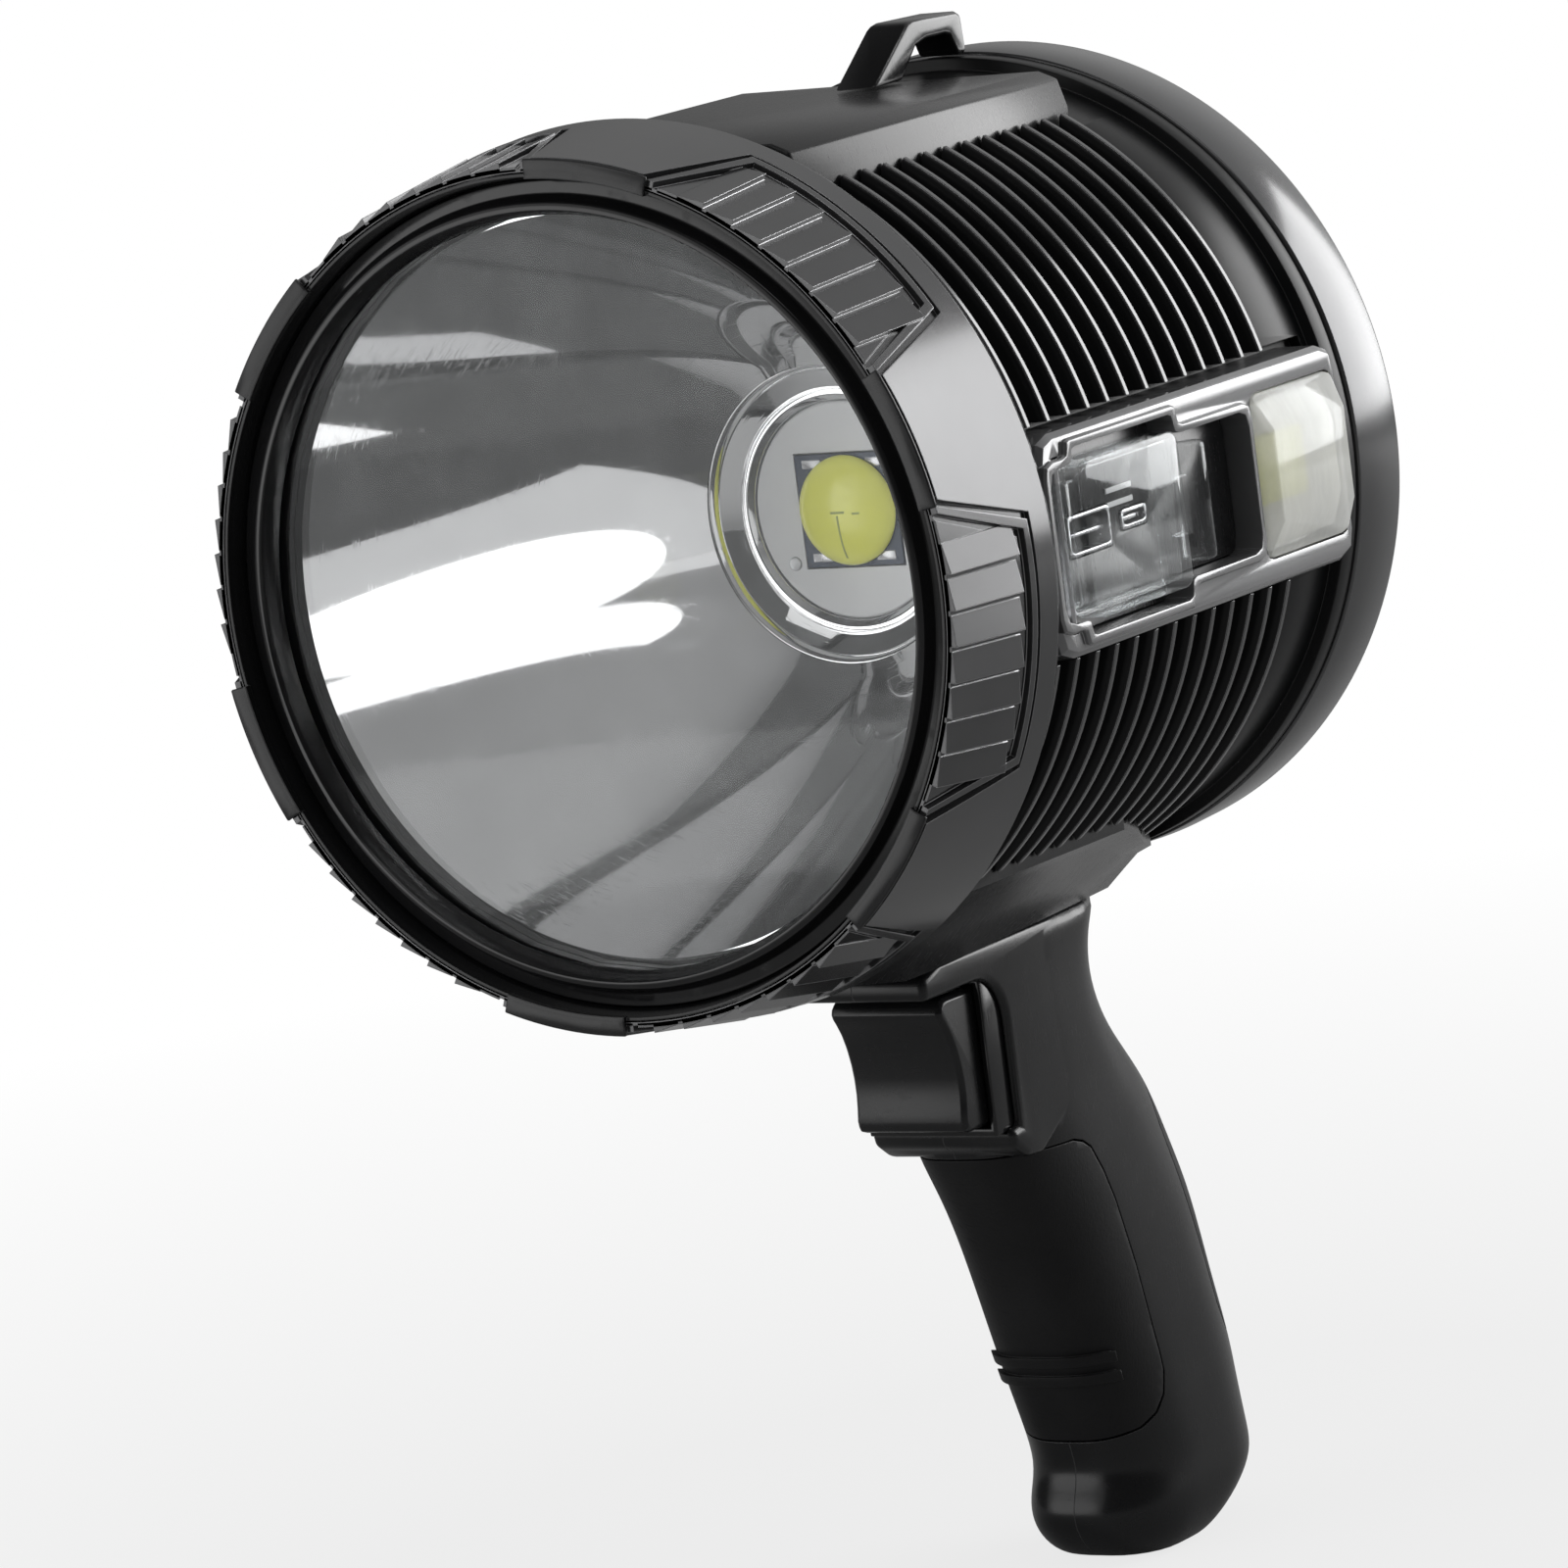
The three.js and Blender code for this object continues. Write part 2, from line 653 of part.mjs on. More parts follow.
// Across the collar as a share of its width from the outside, and in from its front as a share of its depth
const collarShares = [
  [0, 0.06], [0.08, 0], [0.2, 0], [0.27, 0.12], [0.31, 0.3], [0.38, 0.34], [0.7, 0.66], [0.76, 0.58], [0.88, 0.58],
  [0.94, 0.7], [1, 0.76],
];
piece("reflector_collar", revolve([
  ...collarShares.map(([inward, back]) => [collarOuter - inward * collarWidth, collarFront + back * collarDepth]),
  [collarInner, collarRear],
  [collarOuter, collarRear],
], innerSides), mirrorMetal);
const boardHalf = emitterBoardSize / 2;
const plateSlot = boardHalf + seat;
piece("emitter_plate", revolve([
  [0, collarRear - plateThickness], [collarInner - seat, collarRear - plateThickness],
  [collarInner - seat, collarRear], [0, collarRear],
]).subtract(block(-plateSlot, plateSlot, collarFront, collarRear + overrun, -plateSlot, plateSlot)), paleEnamel);
const boardFront = collarRear - emitterBoardThickness;
piece("emitter_board", block(-boardHalf, boardHalf, boardFront, collarRear, -boardHalf, boardHalf), boardBlue);
// Across the dome and down it, as shares of its radius and height
const domeShares = [[0, 1], [0.36, 0.93], [0.68, 0.72], [0.9, 0.38], [1, 0]];
piece("emitter_dome", revolve([
  ...domeShares.map(([out, high]) => [out * domeRadius, boardFront - seat - high * domeHeight]),
  [0, boardFront - seat],
], domeSides), phosphor);

// Heat sink with its fins, and the driver board
const sinkFront = collarRear + seat;
const sinkDisc = sinkFront + pedestalHeight;
const sinkRear = sinkDisc + sinkThickness;
const sinkRadius = barrelBore - seat;
let sink = revolve([
  [0, sinkFront], [pedestalRadius, sinkFront], [pedestalRadius, sinkDisc], [sinkRadius, sinkDisc],
  [sinkRadius, sinkRear], [0, sinkRear],
], innerSides);
const sinkFinCount = 2 * Math.floor((sinkRadius - sinkFinPitch / 2) / sinkFinPitch) + 1;
for (let i = 0; i < sinkFinCount; i += 1) {
  const x = (i - (sinkFinCount - 1) / 2) * sinkFinPitch;
  const half = Math.sqrt((sinkRadius - barrelWall) ** 2 - (Math.abs(x) + sinkFinThickness) ** 2);
  sink = sink.add(block(x - sinkFinThickness / 2, x + sinkFinThickness / 2, sinkRear - bite,
    sinkRear + sinkFinHeight, -half, half));
}
piece("heat_sink", sink, castAluminium);
const driverFront = sinkRear + sinkFinHeight + seat;
const driverRear = driverFront + driverThickness;
piece("driver_board", revolve([
  [0, driverFront], [barrelBore - driverInset, driverFront], [barrelBore - driverInset, driverRear], [0, driverRear],
], innerSides), boardGreen);

// Cells and their two trays
const cellPitch = 2 * cellRadius + cellGap;
const cellStation = driverRear + seat + trayWall + seat + cellRadius;
const trayHalf = (cellCount * cellPitch) / 2 + trayWall;
const cellTop = cellLength / 2;
const trayTop = cellTop + seat + trayFloor;
const trayFront = driverRear + seat;
const trayRear = cellStation + cellRadius + seat + trayWall;
const cellPlaces = Array.from({ length: cellCount }, (_, i) => [(i - (cellCount - 1) / 2) * cellPitch, cellStation]);
function cellTray(side) {
  const heights = (near, far) => [side * near, side * far].sort((a, b) => a - b);
  return cellPlaces.reduce(
    (tray, place) => tray.subtract(bar("z", cellRadius + seat, ...heights(0, cellTop + seat), place, cellSides)),
    block(-trayHalf, trayHalf, trayFront, trayRear, ...heights(cellTop - trayGrip, trayTop)),
  );
}
cellPlaces.forEach((place, i) => {
  piece(`battery_cell_${i + 1}`, bar("z", cellRadius, -cellTop, cellTop, place, cellSides), cellWrap);
});
piece("battery_tray_upper", cellTray(1), blackPlastic);
piece("battery_tray_lower", cellTray(-1), blackPlastic);

// Barrel housing
// The fins and the plain strip are one turned dress round the core, cut away under rail, panel and saddle.
const panelFace = rootRadius + panelProud;
const panelFront = bezelLength + panelFrontGap;
const pinStation = panelFront + openingFront + hingeSpan / 2;
const coverFront = pinStation + coverSetback;
const coverRear = coverFront + coverLength;
const portFront = panelFront + openingFront;
const portMain = portFront + hingeSpan;
const portNarrow = portMain + portSpan;
const portRear = portNarrow + recessSpan;
const lightFront = portRear + lightSetback;
const lightRear = lightFront + lightLength;
const panelRear = lightRear + panelTail;
const railFront = bezelLength + railFrontGap;
const railRear = stripStart + stripGap;
const saddleFront = bezelLength + saddleFrontGap;
const saddleLength = barrelRear - saddleFront;
const saddlePlan = saddleShares.map(([station, top]) => [saddleFront + station * saddleLength, top * saddleHalfWidth]);

const core = revolve([
  [mouthRadius, barrelFront],
  [neckRadius, barrelFront],
  [neckRadius, bezelLength - neckHeight],
  [rootRadius, bezelLength - seat],
  [rootRadius, ridgeFront],
  [ridgeRadius, ridgeFront],
  [ridgeRadius, ridgeFront + ridgeWidth],
  [ridgeRadius - ridgeGap, barrelRear],
  [barrelBore, barrelRear],
  [barrelBore, mouthFloor],
  [mouthRadius, mouthFloor],
]);
const comb = [];
for (let i = 0; i < finCount; i += 1) {
  const station = firstFin + i * finPitch;
  comb.push([rootRadius - bite, station - finFoot / 2], [crestRadius, station - finCrest / 2],
    [crestRadius, station + finCrest / 2], [rootRadius - bite, station + finFoot / 2]);
}
const deepRadius = rootRadius - 3 * bite;
let dress = revolve([
  [deepRadius, firstFin - finFoot / 2], ...comb, [rootRadius - bite, stripStart], [stripRadius, stripStart],
  [stripRadius, ridgeFront + bite], [deepRadius, ridgeFront + bite],
]);
const reach = 2 * crestRadius;
dress = dress
  .subtract(block(-railHalfWidth - zoneGap / 2, railHalfWidth + zoneGap / 2, 0, railRear + zoneGap / 2, 0, reach))
  .subtract(block(0, reach, 0, panelRear + zoneGap / 2, -panelHalfHeight - zoneGap, panelHalfHeight + zoneGap))
  .subtract(prism("z", [
    ...saddlePlan.map(([station, half]) => [half + zoneGap / 2, station]),
    ...saddlePlan.map(([station, half]) => [-half - zoneGap / 2, station]).reverse(),
  ], -reach, 0));
const portMiddle = coverFront + coverLength / 2;
const windowHalf = Math.min(portHalf, coverHalf) - openingCorner;
piece("barrel_housing", core.add(dress)
  .subtract(block(barrelBore - barrelWall - overrun, reach, coverFront, coverRear, -windowHalf, windowHalf))
  .subtract(block(barrelBore - barrelWall - overrun, reach, lightFront + lightCorner, lightRear - lightCorner,
    -lightHalf + lightCorner, lightHalf - lightCorner)), blackPlastic);

// What the barrel leaves free for pieces laid on it, behind the bezel
const barrelSleeve = revolve([
  [0, 0], [rootRadius + seat, 0], [rootRadius + seat, stripStart - seat], [stripRadius + seat, stripStart - seat],
  [stripRadius + seat, ridgeFront - seat], [ridgeRadius + seat, ridgeFront - seat],
  [ridgeRadius + seat, barrelRear + overrun], [0, barrelRear + overrun],
], 2 * turnSides);
const rootSleeve = revolve([
  [0, 0], [rootRadius + seat, 0], [rootRadius + seat, barrelRear], [0, barrelRear],
], 2 * turnSides);

// Top rail
const railTop = rootRadius + railProud;
piece("top_rail", prism("y", [
  [-railHalfWidth, 0], [railHalfWidth, 0], [railHalfWidth, railTop - railShoulder - railHalfWidth + railTopHalfWidth],
  [railHalfWidth - railShoulder, railTop - railShoulder], [railTopHalfWidth, railTop],
  [-railTopHalfWidth, railTop], [railShoulder - railHalfWidth, railTop - railShoulder],
  [-railHalfWidth, railTop - railShoulder - railHalfWidth + railTopHalfWidth],
], railFront, railRear).subtract(rootSleeve)
  .subtract(block(-reach, reach, stripStart - seat, reach, 0, stripRadius + seat)), blackPlastic);

// Strap loop, from the rail back to the barrel's ridge
const loopRear = barrelRear - ridgeGap;
const loopFront = loopRear - loopReach;
const loopFoot = railTop + seat;
const loopRearFoot = Math.max(ridgeRadius + seat, loopFoot);
const loopPoints = [...loopOuterShares, ...loopInnerShares]
  .map(([run, rise]) => [loopFront + run * loopReach, loopFoot + rise * loopHeight]);
piece("strap_loop", prism("x", loopPoints, -loopHalfWidth, loopHalfWidth, { bevel: loopBevel })
  .subtract(block(-reach, reach, railRear, reach, 0, loopRearFoot)), glossBlack);

// Side panel
// Its opening steps in at the hinge and at the finger recess, and a raised rim follows it.
// The barrel is cut down to its root below it, so the panel lies on the root all along.
function portOutline(grow) {
  const rows = [[portFront - grow, hingeHalf + grow], [portMain - grow, portHalf + grow],
    [portNarrow + grow, recessHalf + grow], [portRear + grow, 0]];
  const half = [];
  for (let i = 0; i + 1 < rows.length; i += 1) half.push([rows[i][0], rows[i][1]], [rows[i + 1][0], rows[i][1]]);
  return [...half, ...half.map(([station, height]) => [station, -height]).reverse()];
}
const rimTop = panelFace + rimHeight;
const panelBack = rootRadius * panelRootShare;
const lightSlot = rectangle(lightFront - seat, lightRear + seat, -lightHalf - seat, lightHalf + seat);
const panel = prism("x", rectangle(panelFront, panelRear, -panelHalfHeight, panelHalfHeight), panelBack, panelFace,
  { radius: panelCorner, bevel: panelBevel })
  .add(prism("x", portOutline(rimWidth), panelFace - 2 * bite, rimTop, { radius: openingCorner, bevel: bite }))
  .subtract(prism("x", portOutline(0), 0, reach, { radius: openingCorner }))
  .subtract(prism("x", lightSlot, 0, reach, { radius: lightCorner }))
  .subtract(rootSleeve);
const pinAxis = panelFace - pinDrop;
piece("side_panel", panel.subtract(bar("z", pinRadius + seat, -hingeHalf - pinReach - seat, hingeHalf + pinReach + seat,
  [pinAxis, pinStation])), satinMetal);

// Port tray with its sockets
const trayBackX = rootRadius + seat;
const trayFaceX = trayBackX + trayThickness;
const trayOutline = portOutline(-seat);
const powerFront = portMiddle - (powerSocketLength + socketGap + chargeSocketLength) / 2;
const powerRear = powerFront + powerSocketLength;
const chargeFront = powerRear + socketGap;
const chargeRear = chargeFront + chargeSocketLength;
const socketFace = trayFaceX + seat;
const socketBack = socketFace - socketDepth;
function socketHole(front, rear, height) {
  return prism("x", rectangle(front - seat, rear + seat, -height / 2 - seat, height / 2 + seat), 0, reach,
    { radius: socketCorner });
}
piece("port_tray", prism("x", trayOutline, trayBackX, trayFaceX, { radius: openingCorner })
  .subtract(socketHole(powerFront, powerRear, powerSocketHeight))
  .subtract(socketHole(chargeFront, chargeRear, chargeSocketHeight)), blackPlastic);
function socket(name, front, rear, height) {
  const shell = prism("x", rectangle(front, rear, -height / 2, height / 2), socketBack, socketFace,
    { radius: socketCorner });
  const bore = prism("x", rectangle(front + socketWall, rear - socketWall, socketWall - height / 2,
    height / 2 - socketWall), socketBack + socketWall, reach, { radius: socketCorner });
  const tongue = block(socketBack + socketWall / 2, socketFace - socketWall, front + 2 * socketWall,
    rear - 2 * socketWall, -socketWall / 2, socketWall / 2);
  piece(name, shell.subtract(bore).add(tongue), steel);
}
socket("power_socket", powerFront, powerRear, powerSocketHeight);
socket("charge_socket", chargeFront, chargeRear, chargeSocketHeight);
const chargeBoardX = socketBack - seat;
piece("charge_board", block(chargeBoardX - chargeBoardThickness, chargeBoardX, portMiddle - chargeBoardLength / 2,
  portMiddle + chargeBoardLength / 2 - openingCorner, -chargeBoardHalf, chargeBoardHalf), boardGreen);

// Port cover: a clear lid with a knuckle at the front and a pull bar at the rear
const coverBack = trayFaceX + coverLift;
const coverFace = coverBack + coverHeight;
const lidOuter = rectangle(coverFront, coverRear, -coverHalf, coverHalf);
const lidInner = rectangle(coverFront + coverWall, coverRear - coverWall, coverWall - coverHalf, coverHalf - coverWall);
const webX = pinAxis - webThickness / 2;
const pullStation = coverRear + pullReach;
const lid = prism("x", lidOuter, coverBack, coverFace, { radius: coverCorner, bevel: coverWall / 3 })
  .subtract(prism("x", lidInner, coverBack - overrun, coverFace - coverWall, { radius: coverCorner / 2 }))
  .add(block(webX, webX + webThickness, pinStation, coverFront + coverWall / 2, -knuckleHalf, knuckleHalf))
  .add(bar("z", knuckleRadius, -knuckleHalf, knuckleHalf, [pinAxis, pinStation]))
  .add(block(webX, webX + webThickness, coverRear - coverWall / 2, pullStation, -pullHalf / 2, pullHalf / 2))
  .add(prism("z", rectangle(pinAxis - pullRadius, pinAxis + pullRadius, pullStation - pullRadius,
    pullStation + pullRadius), -pullHalf, pullHalf, { radius: pullRadius, bevel: coverWall / 2 }))
  .subtract(bar("z", pinRadius + seat, -portHalf, portHalf, [pinAxis, pinStation]));
piece("port_cover", lid, clearPlastic);
piece("port_cover_pin", bar("z", pinRadius, -hingeHalf - pinReach, hingeHalf + pinReach, [pinAxis, pinStation]), steel);

// Side light: board, emitter strip and prism lens
function lightRing(x, inset, taper) {
  const face = mix(lightHalf, lightFaceHalf, taper) - inset;
  const ends = mix(0, lightProud, taper) / 2 + inset;
  return rectangle(lightFront + ends, lightRear - ends, -face, face).map(([y, z]) => new THREE.Vector3(x, y, z));
}
const lightBoardTop = trayBackX + lightBoardThickness;
const lightChipTop = lightBoardTop + seat + lightChipThickness;
const lightBase = lightBoardTop + seat;
const lightFace = panelFace + lightProud;
const lightOuter = loft([lightRing(lightBase, 0, 0), lightRing(panelFace, 0, 0), lightRing(lightFace, 0, 1)]);
const lightInner = loft([
  lightRing(lightBase - overrun, lightWall, 0), lightRing(panelFace - lightWall, lightWall, 0),
  lightRing(lightFace - lightWall, lightWall, 1),
]);
const cornerPost = prism("x", rectangle(lightFront, lightRear, -lightHalf, lightHalf), lightBase, reach,
  { radius: lightCorner });
piece("side_light_lens", lightOuter.intersect(cornerPost).subtract(lightInner), clearPlastic);
piece("side_light_board", prism("x", rectangle(lightFront + seat, lightRear - seat, seat - lightHalf, lightHalf - seat),
  trayBackX, lightBoardTop, { radius: lightCorner }), paleEnamel);
const chipHalf = lightHalf * lightChipHeightShare;
const chipInset = (lightLength * (1 - lightChipLengthShare)) / 2;
piece("side_light_emitter", prism("x", rectangle(lightFront + chipInset, lightRear - chipInset, -chipHalf, chipHalf),
  lightBoardTop + seat, lightChipTop, { radius: lightCorner / 2 }), phosphor);

// Rear ring, cover, seal and screws
const ringFront = barrelRear + seat;
const ringRear = ringFront + rearRingLength;
const ringRadius = ridgeRadius + rearRingProud;
const ringBore = barrelBore + rearBoreStep;
const ledgeFront = ringFront + rearLedgeStation;
const ledgeRear = ledgeFront + rearLedgeThickness;
const coverDiscFront = ledgeRear + seat + rearSealThickness + seat;
const coverDiscRear = coverDiscFront + rearCoverThickness;
const rearSpots = Array.from({ length: rearScrewCount }, (_, k) => {
  return polar(ringBore - rearScrewInset, 0, rearScrewAngle + (k * 360) / rearScrewCount);
});
const spotUV = (p) => [p.x, p.z];
let ring = revolve([
  [ringRadius, ringFront],
  [ringRadius + rearRingCrown, (ringFront + ringRear) / 2],
  [ringRadius, ringRear - rearRingEdge],
  [ringRadius - rearRingEdge, ringRear],
  [ringBore + rearRingEdge, ringRear],
  [ringBore, ringRear - rearRingEdge],
  [ringBore, ledgeRear],
  [ringBore - rearLedgeWidth, ledgeRear],
  [ringBore - rearLedgeWidth, ledgeFront],
  [ringBore, ledgeFront],
  [ringBore, ringFront],
]);
let disc = revolve([
  [0, coverDiscFront], [ringBore - seat, coverDiscFront], [ringBore - seat, coverDiscRear - rearRingEdge],
  [ringBore - seat - rearRingEdge, coverDiscRear], [0, coverDiscRear],
]);
rearSpots.forEach((spot, i) => {
  const uv = spotUV(spot);
  const headFront = coverDiscRear - screwHeadDepth;
  ring = ring.subtract(bar("y", screwShank + screwSlack, ledgeFront - overrun, ledgeRear + overrun, uv));
  disc = disc.subtract(bar("y", screwShank + screwSlack, coverDiscFront - overrun, coverDiscRear + overrun, uv))
    .subtract(bar("y", screwHead + screwSlack, headFront - screwSlack, coverDiscRear + overrun, uv));
  piece(`rear_screw_${i + 1}`, bar("y", screwHead, headFront, coverDiscRear, uv)
    .add(bar("y", screwShank, headFront - screwLength, headFront + screwHeadDepth / 2, uv)), steel);
});
piece("rear_ring", ring, satinMetal);
piece("rear_cover", disc, blackPlastic);
const rearSealOuter = ringBore - rearScrewInset + screwHead + rearSealWidth;
piece("rear_seal", revolve([
  [rearSealOuter - rearSealWidth, ledgeRear + seat], [Math.min(rearSealOuter, ringBore - seat), ledgeRear + seat],
  [Math.min(rearSealOuter, ringBore - seat), ledgeRear + seat + rearSealThickness],
  [rearSealOuter - rearSealWidth, ledgeRear + seat + rearSealThickness],
], innerSides), softRubber);

// Saddle under the barrel
const saddleEdge = rootRadius + saddleProud;
const saddleBottom = rootRadius + saddleDrop;
const saddleSections = saddleShares.map(([run, topShare, bottomShare, dropShare]) => {
  const station = saddleFront + run * saddleLength;
  const top = topShare * saddleHalfWidth;
  const bottom = bottomShare * saddleHalfWidth;
  const low = -rootRadius - dropShare * saddleDrop;
  const edge = Math.max(-Math.sqrt(saddleEdge ** 2 - top ** 2), low + bite);
  const half = [[top, -rootRadius * saddleRootShare], [top, edge]];
  for (const [inShare, downShare] of saddleFlankShares) {
    half.push([mix(top, bottom, inShare), mix(edge, low, downShare)]);
  }
  half.push([bottom, low]);
  const left = half.map(([x, z]) => new THREE.Vector3(-x, station, z)).reverse();
  return [...half.map(([x, z]) => new THREE.Vector3(x, station, z)), ...left];
});
piece("saddle", loft(saddleSections).subtract(barrelSleeve), blackPlastic);

// Grip
// Rings of a leaning, squared ellipse; an inset gives the same form smaller, for walls and pockets.
const gripTop = -saddleBottom - seat;
const gripStation = saddleFront + gripStationShare * saddleLength;
function gripAt(down, run) {
  return [gripStation + gripLeanShare * down * gripHeight + run * gripDepth, gripTop - down * gripHeight];
}
function gripSolid(inset, sides = gripSides) {
  return loft(gripShares.map(([down, front, rear, width, square], level) => {
    const [frontY, z] = gripAt(down, front);
    const [rearY] = gripAt(down, rear);
    const middle = (frontY + rearY) / 2;
    const depth = Math.max((rearY - frontY) / 2 - inset, bite);
    const half = Math.max(width * gripHalfWidth - inset, bite);
    const height = level === gripShares.length - 1 ? z + inset : z;
    return Array.from({ length: sides }, (_, i) => {
      const angle = (2 * Math.PI * i) / sides;
      const bend = (value) => Math.sign(value) * Math.abs(value) ** (1 - square);
      return new THREE.Vector3(half * bend(Math.sin(angle)), middle - depth * bend(Math.cos(angle)), height);
    });
  }));
}
function gripZone(shares, inset = 0) {
  return prism("x", drawnIn(shares.map(([down, run]) => gripAt(down, run)), inset), -reach, reach);
}
const gripForm = gripSolid(0);
const insertFloor = gripSolid(insertThickness + seat, hollowSides);
const insertSkin = gripSolid(insertThickness, hollowSides);
const [gripFrontY] = gripAt(0, gripShares[0][1]);
const roofFront = gripFrontY - roofReach;
const roofBottom = gripTop - roofThickness;
const roof = prism("x", [
  [roofFront + roofThickness, gripTop], [gripFrontY + 2 * gripWall, gripTop],
  [gripFrontY + 2 * gripWall, roofBottom - roofThickness / 2], [gripFrontY, roofBottom - roofThickness / 2],
  [gripFrontY - roofThickness, roofBottom], [roofFront, roofBottom], [roofFront, gripTop - roofThickness / 3],
], -roofHalfWidth, roofHalfWidth, { radius: roofCorner, bevel: triggerBevel });

// Trigger, its guide, plunger and switch
const triggerTop = roofBottom - triggerTopGap;
const guideRear = gripFrontY + guideBack + seat;
const guideFloor = guideRear - guideBack;
const triggerRear = guideFloor - triggerTravel - slack;
const triggerFront = triggerRear - triggerDepth;
const triggerPoints = triggerShares.map(([run, down]) => [triggerFront + run * triggerDepth,
  triggerTop - down * triggerHeight]);
piece("trigger", prism("x", triggerPoints, -triggerHalfWidth, triggerHalfWidth,
  { radius: triggerCorner, bevel: triggerBevel }), blackPlastic, handle);
const guideInner = triggerHalfWidth + slack;
const guideOuter = guideInner + guideWall;
const guideTop = roofBottom - seat;
const guideBottom = triggerTop - triggerHeight - slack - guideWall;
const plungerHeight = triggerTop - plungerShare * triggerHeight;
const plungerBore = plungerRadius + seat;
piece("trigger_guide", block(-guideOuter, guideOuter, guideFloor - guideHood, guideRear, guideBottom, guideTop)
  .subtract(block(-guideInner, guideInner, triggerFront - guideHood, guideFloor, guideBottom + guideWall,
    triggerTop + slack))
  .subtract(bar("y", plungerBore, guideFloor - overrun, guideRear + overrun, [0, plungerHeight])), glossBlack, handle);
const plungerFront = triggerRear + seat;
const switchFront = guideRear + seat;
const switchRear = switchFront + switchDepth;
piece("switch_plunger", bar("y", plungerRadius, plungerFront, plungerFront + plungerReach - triggerTravel,
  [0, plungerHeight]), steel, handle);
const plungerRear = plungerFront + plungerReach - triggerTravel;
const switchTop = plungerHeight + switchHeight / 2;
piece("trigger_switch", block(-switchHalfWidth, switchHalfWidth, switchFront, switchRear, switchTop - switchHeight,
  switchTop).subtract(bar("y", plungerBore, switchFront - overrun, plungerRear + triggerTravel + seat,
  [0, plungerHeight])), blackPlastic, handle);

// Grip shells with their screw bosses, and the pocket for the insert below the trigger's guide
const insertTop = (gripTop - guideBottom + insertGap) / gripHeight;
const insertRow = (share) => mix(insertTop, 1, share);
const insertOutline = insertShares.map(([share, run]) => [insertRow(share), run]);
const hollow = gripSolid(gripWall, hollowSides).intersect(block(-reach, reach, 0, 2 * reach, gripTop - gripHeight + gripWall,
  roofBottom));
const gripScrews = gripScrewShares.map(([down, run]) => gripAt(down, run));
const bossReach = gripHalfWidth - gripWall / 2;
let shells = gripForm.add(roof).subtract(hollow);
for (const spot of gripScrews) shells = shells.add(bar("x", bossRadius, -bossReach, bossReach, spot));
shells = shells
  .subtract(block(-guideOuter - seat, guideOuter + seat, 0, guideRear + seat, guideBottom - seat, roofBottom))
  .subtract(block(-switchHalfWidth - seat, switchHalfWidth + seat, 0, switchRear + seat, switchTop - switchHeight - seat,
    switchTop + seat))
  .subtract(gripZone(insertOutline).subtract(insertFloor))
  .subtract(gripZone(stripShares).subtract(insertFloor));
const headDeep = gripHalfWidth - gripWall;
for (const spot of gripScrews) {
  shells = shells
    .subtract(bar("x", screwShank + screwSlack, -reach, headDeep - gripWall / 2, spot))
    .subtract(bar("x", screwHead + screwSlack, -reach, screwSlack - headDeep + screwHeadDepth / 2, spot));
}
const rightHalf = block(seat / 2, reach, -reach, 2 * reach, -2 * reach - gripHeight, 0);
const leftHalf = block(-reach, -seat / 2, -reach, 2 * reach, -2 * reach - gripHeight, 0);
// A tongue of the right shell closes the seam in the middle of the foot.
const footMiddle = gripAt(1, (gripShares.at(-1)[1] + gripShares.at(-1)[2]) / 2);
function footTongue(grow) {
  const reachOut = tongueHalf + grow;
  return block(-reachOut, seat, footMiddle[0] - reachOut, footMiddle[0] + reachOut, footMiddle[1] - overrun,
    footMiddle[1] + gripWall / 2 + grow);
}
piece("grip_right", shells.intersect(rightHalf.add(footTongue(0))), blackPlastic, handle);
piece("grip_left", shells.intersect(leftHalf).subtract(footTongue(seat)), blackPlastic, handle);
gripScrews.forEach((spot, i) => {
  const headFrom = screwHeadDepth / 2 - headDeep - screwHeadDepth;
  piece(`grip_screw_${i + 1}`, bar("x", screwHead, headFrom, headFrom + screwHeadDepth, spot)
    .add(bar("x", screwShank, headFrom + screwHeadDepth / 2, headDeep - gripWall, spot)), steel, handle);
});

// Soft front insert with its two ridges, and the soft rear strip
const ridgeZone = ridgeRowShares.map((share) => [insertRow(share), insertRow(share + ridgeThicknessShare)])
  .map(([above, below]) => prism("x", [
    gripAt(above, -1), gripAt(above, ridgeReachShare), gripAt(below, ridgeReachShare), gripAt(below, -1),
  ], -reach, reach));
const proudForm = gripSolid(-insertRidge);
let insert = gripForm.intersect(gripZone(insertOutline, seat));
for (const zone of ridgeZone) insert = insert.add(proudForm.intersect(zone));
piece("grip_insert", insert.subtract(insertSkin), softRubber, handle);
piece("rear_strip", gripForm.intersect(gripZone(stripShares, seat)).subtract(insertSkin), softRubber, handle);

// The part
// Its origin is the middle of the foot's flat underside.
const beamHeight = gripHeight - gripTop;
const footStation = footMiddle[0];
const searchlight = new THREE.Group();
head.position.set(0, -footStation, beamHeight);
handle.position.copy(head.position);
searchlight.add(head, handle);

export default searchlight;
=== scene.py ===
# %% [markdown]
# # A handheld searchlight
# The lamp is a wide reflector head on a pistol grip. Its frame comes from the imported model: nearly
# every piece made here takes the place of one of its solids, in the same metres, with finer
# rounding, the moulded details and the finish. The order is: tools, finishes, front, reflector,
# barrel, side panel, back, grip, then the studio.

# %% Load the frame
import json
import math
import bpy
from mathutils import Matrix, Vector


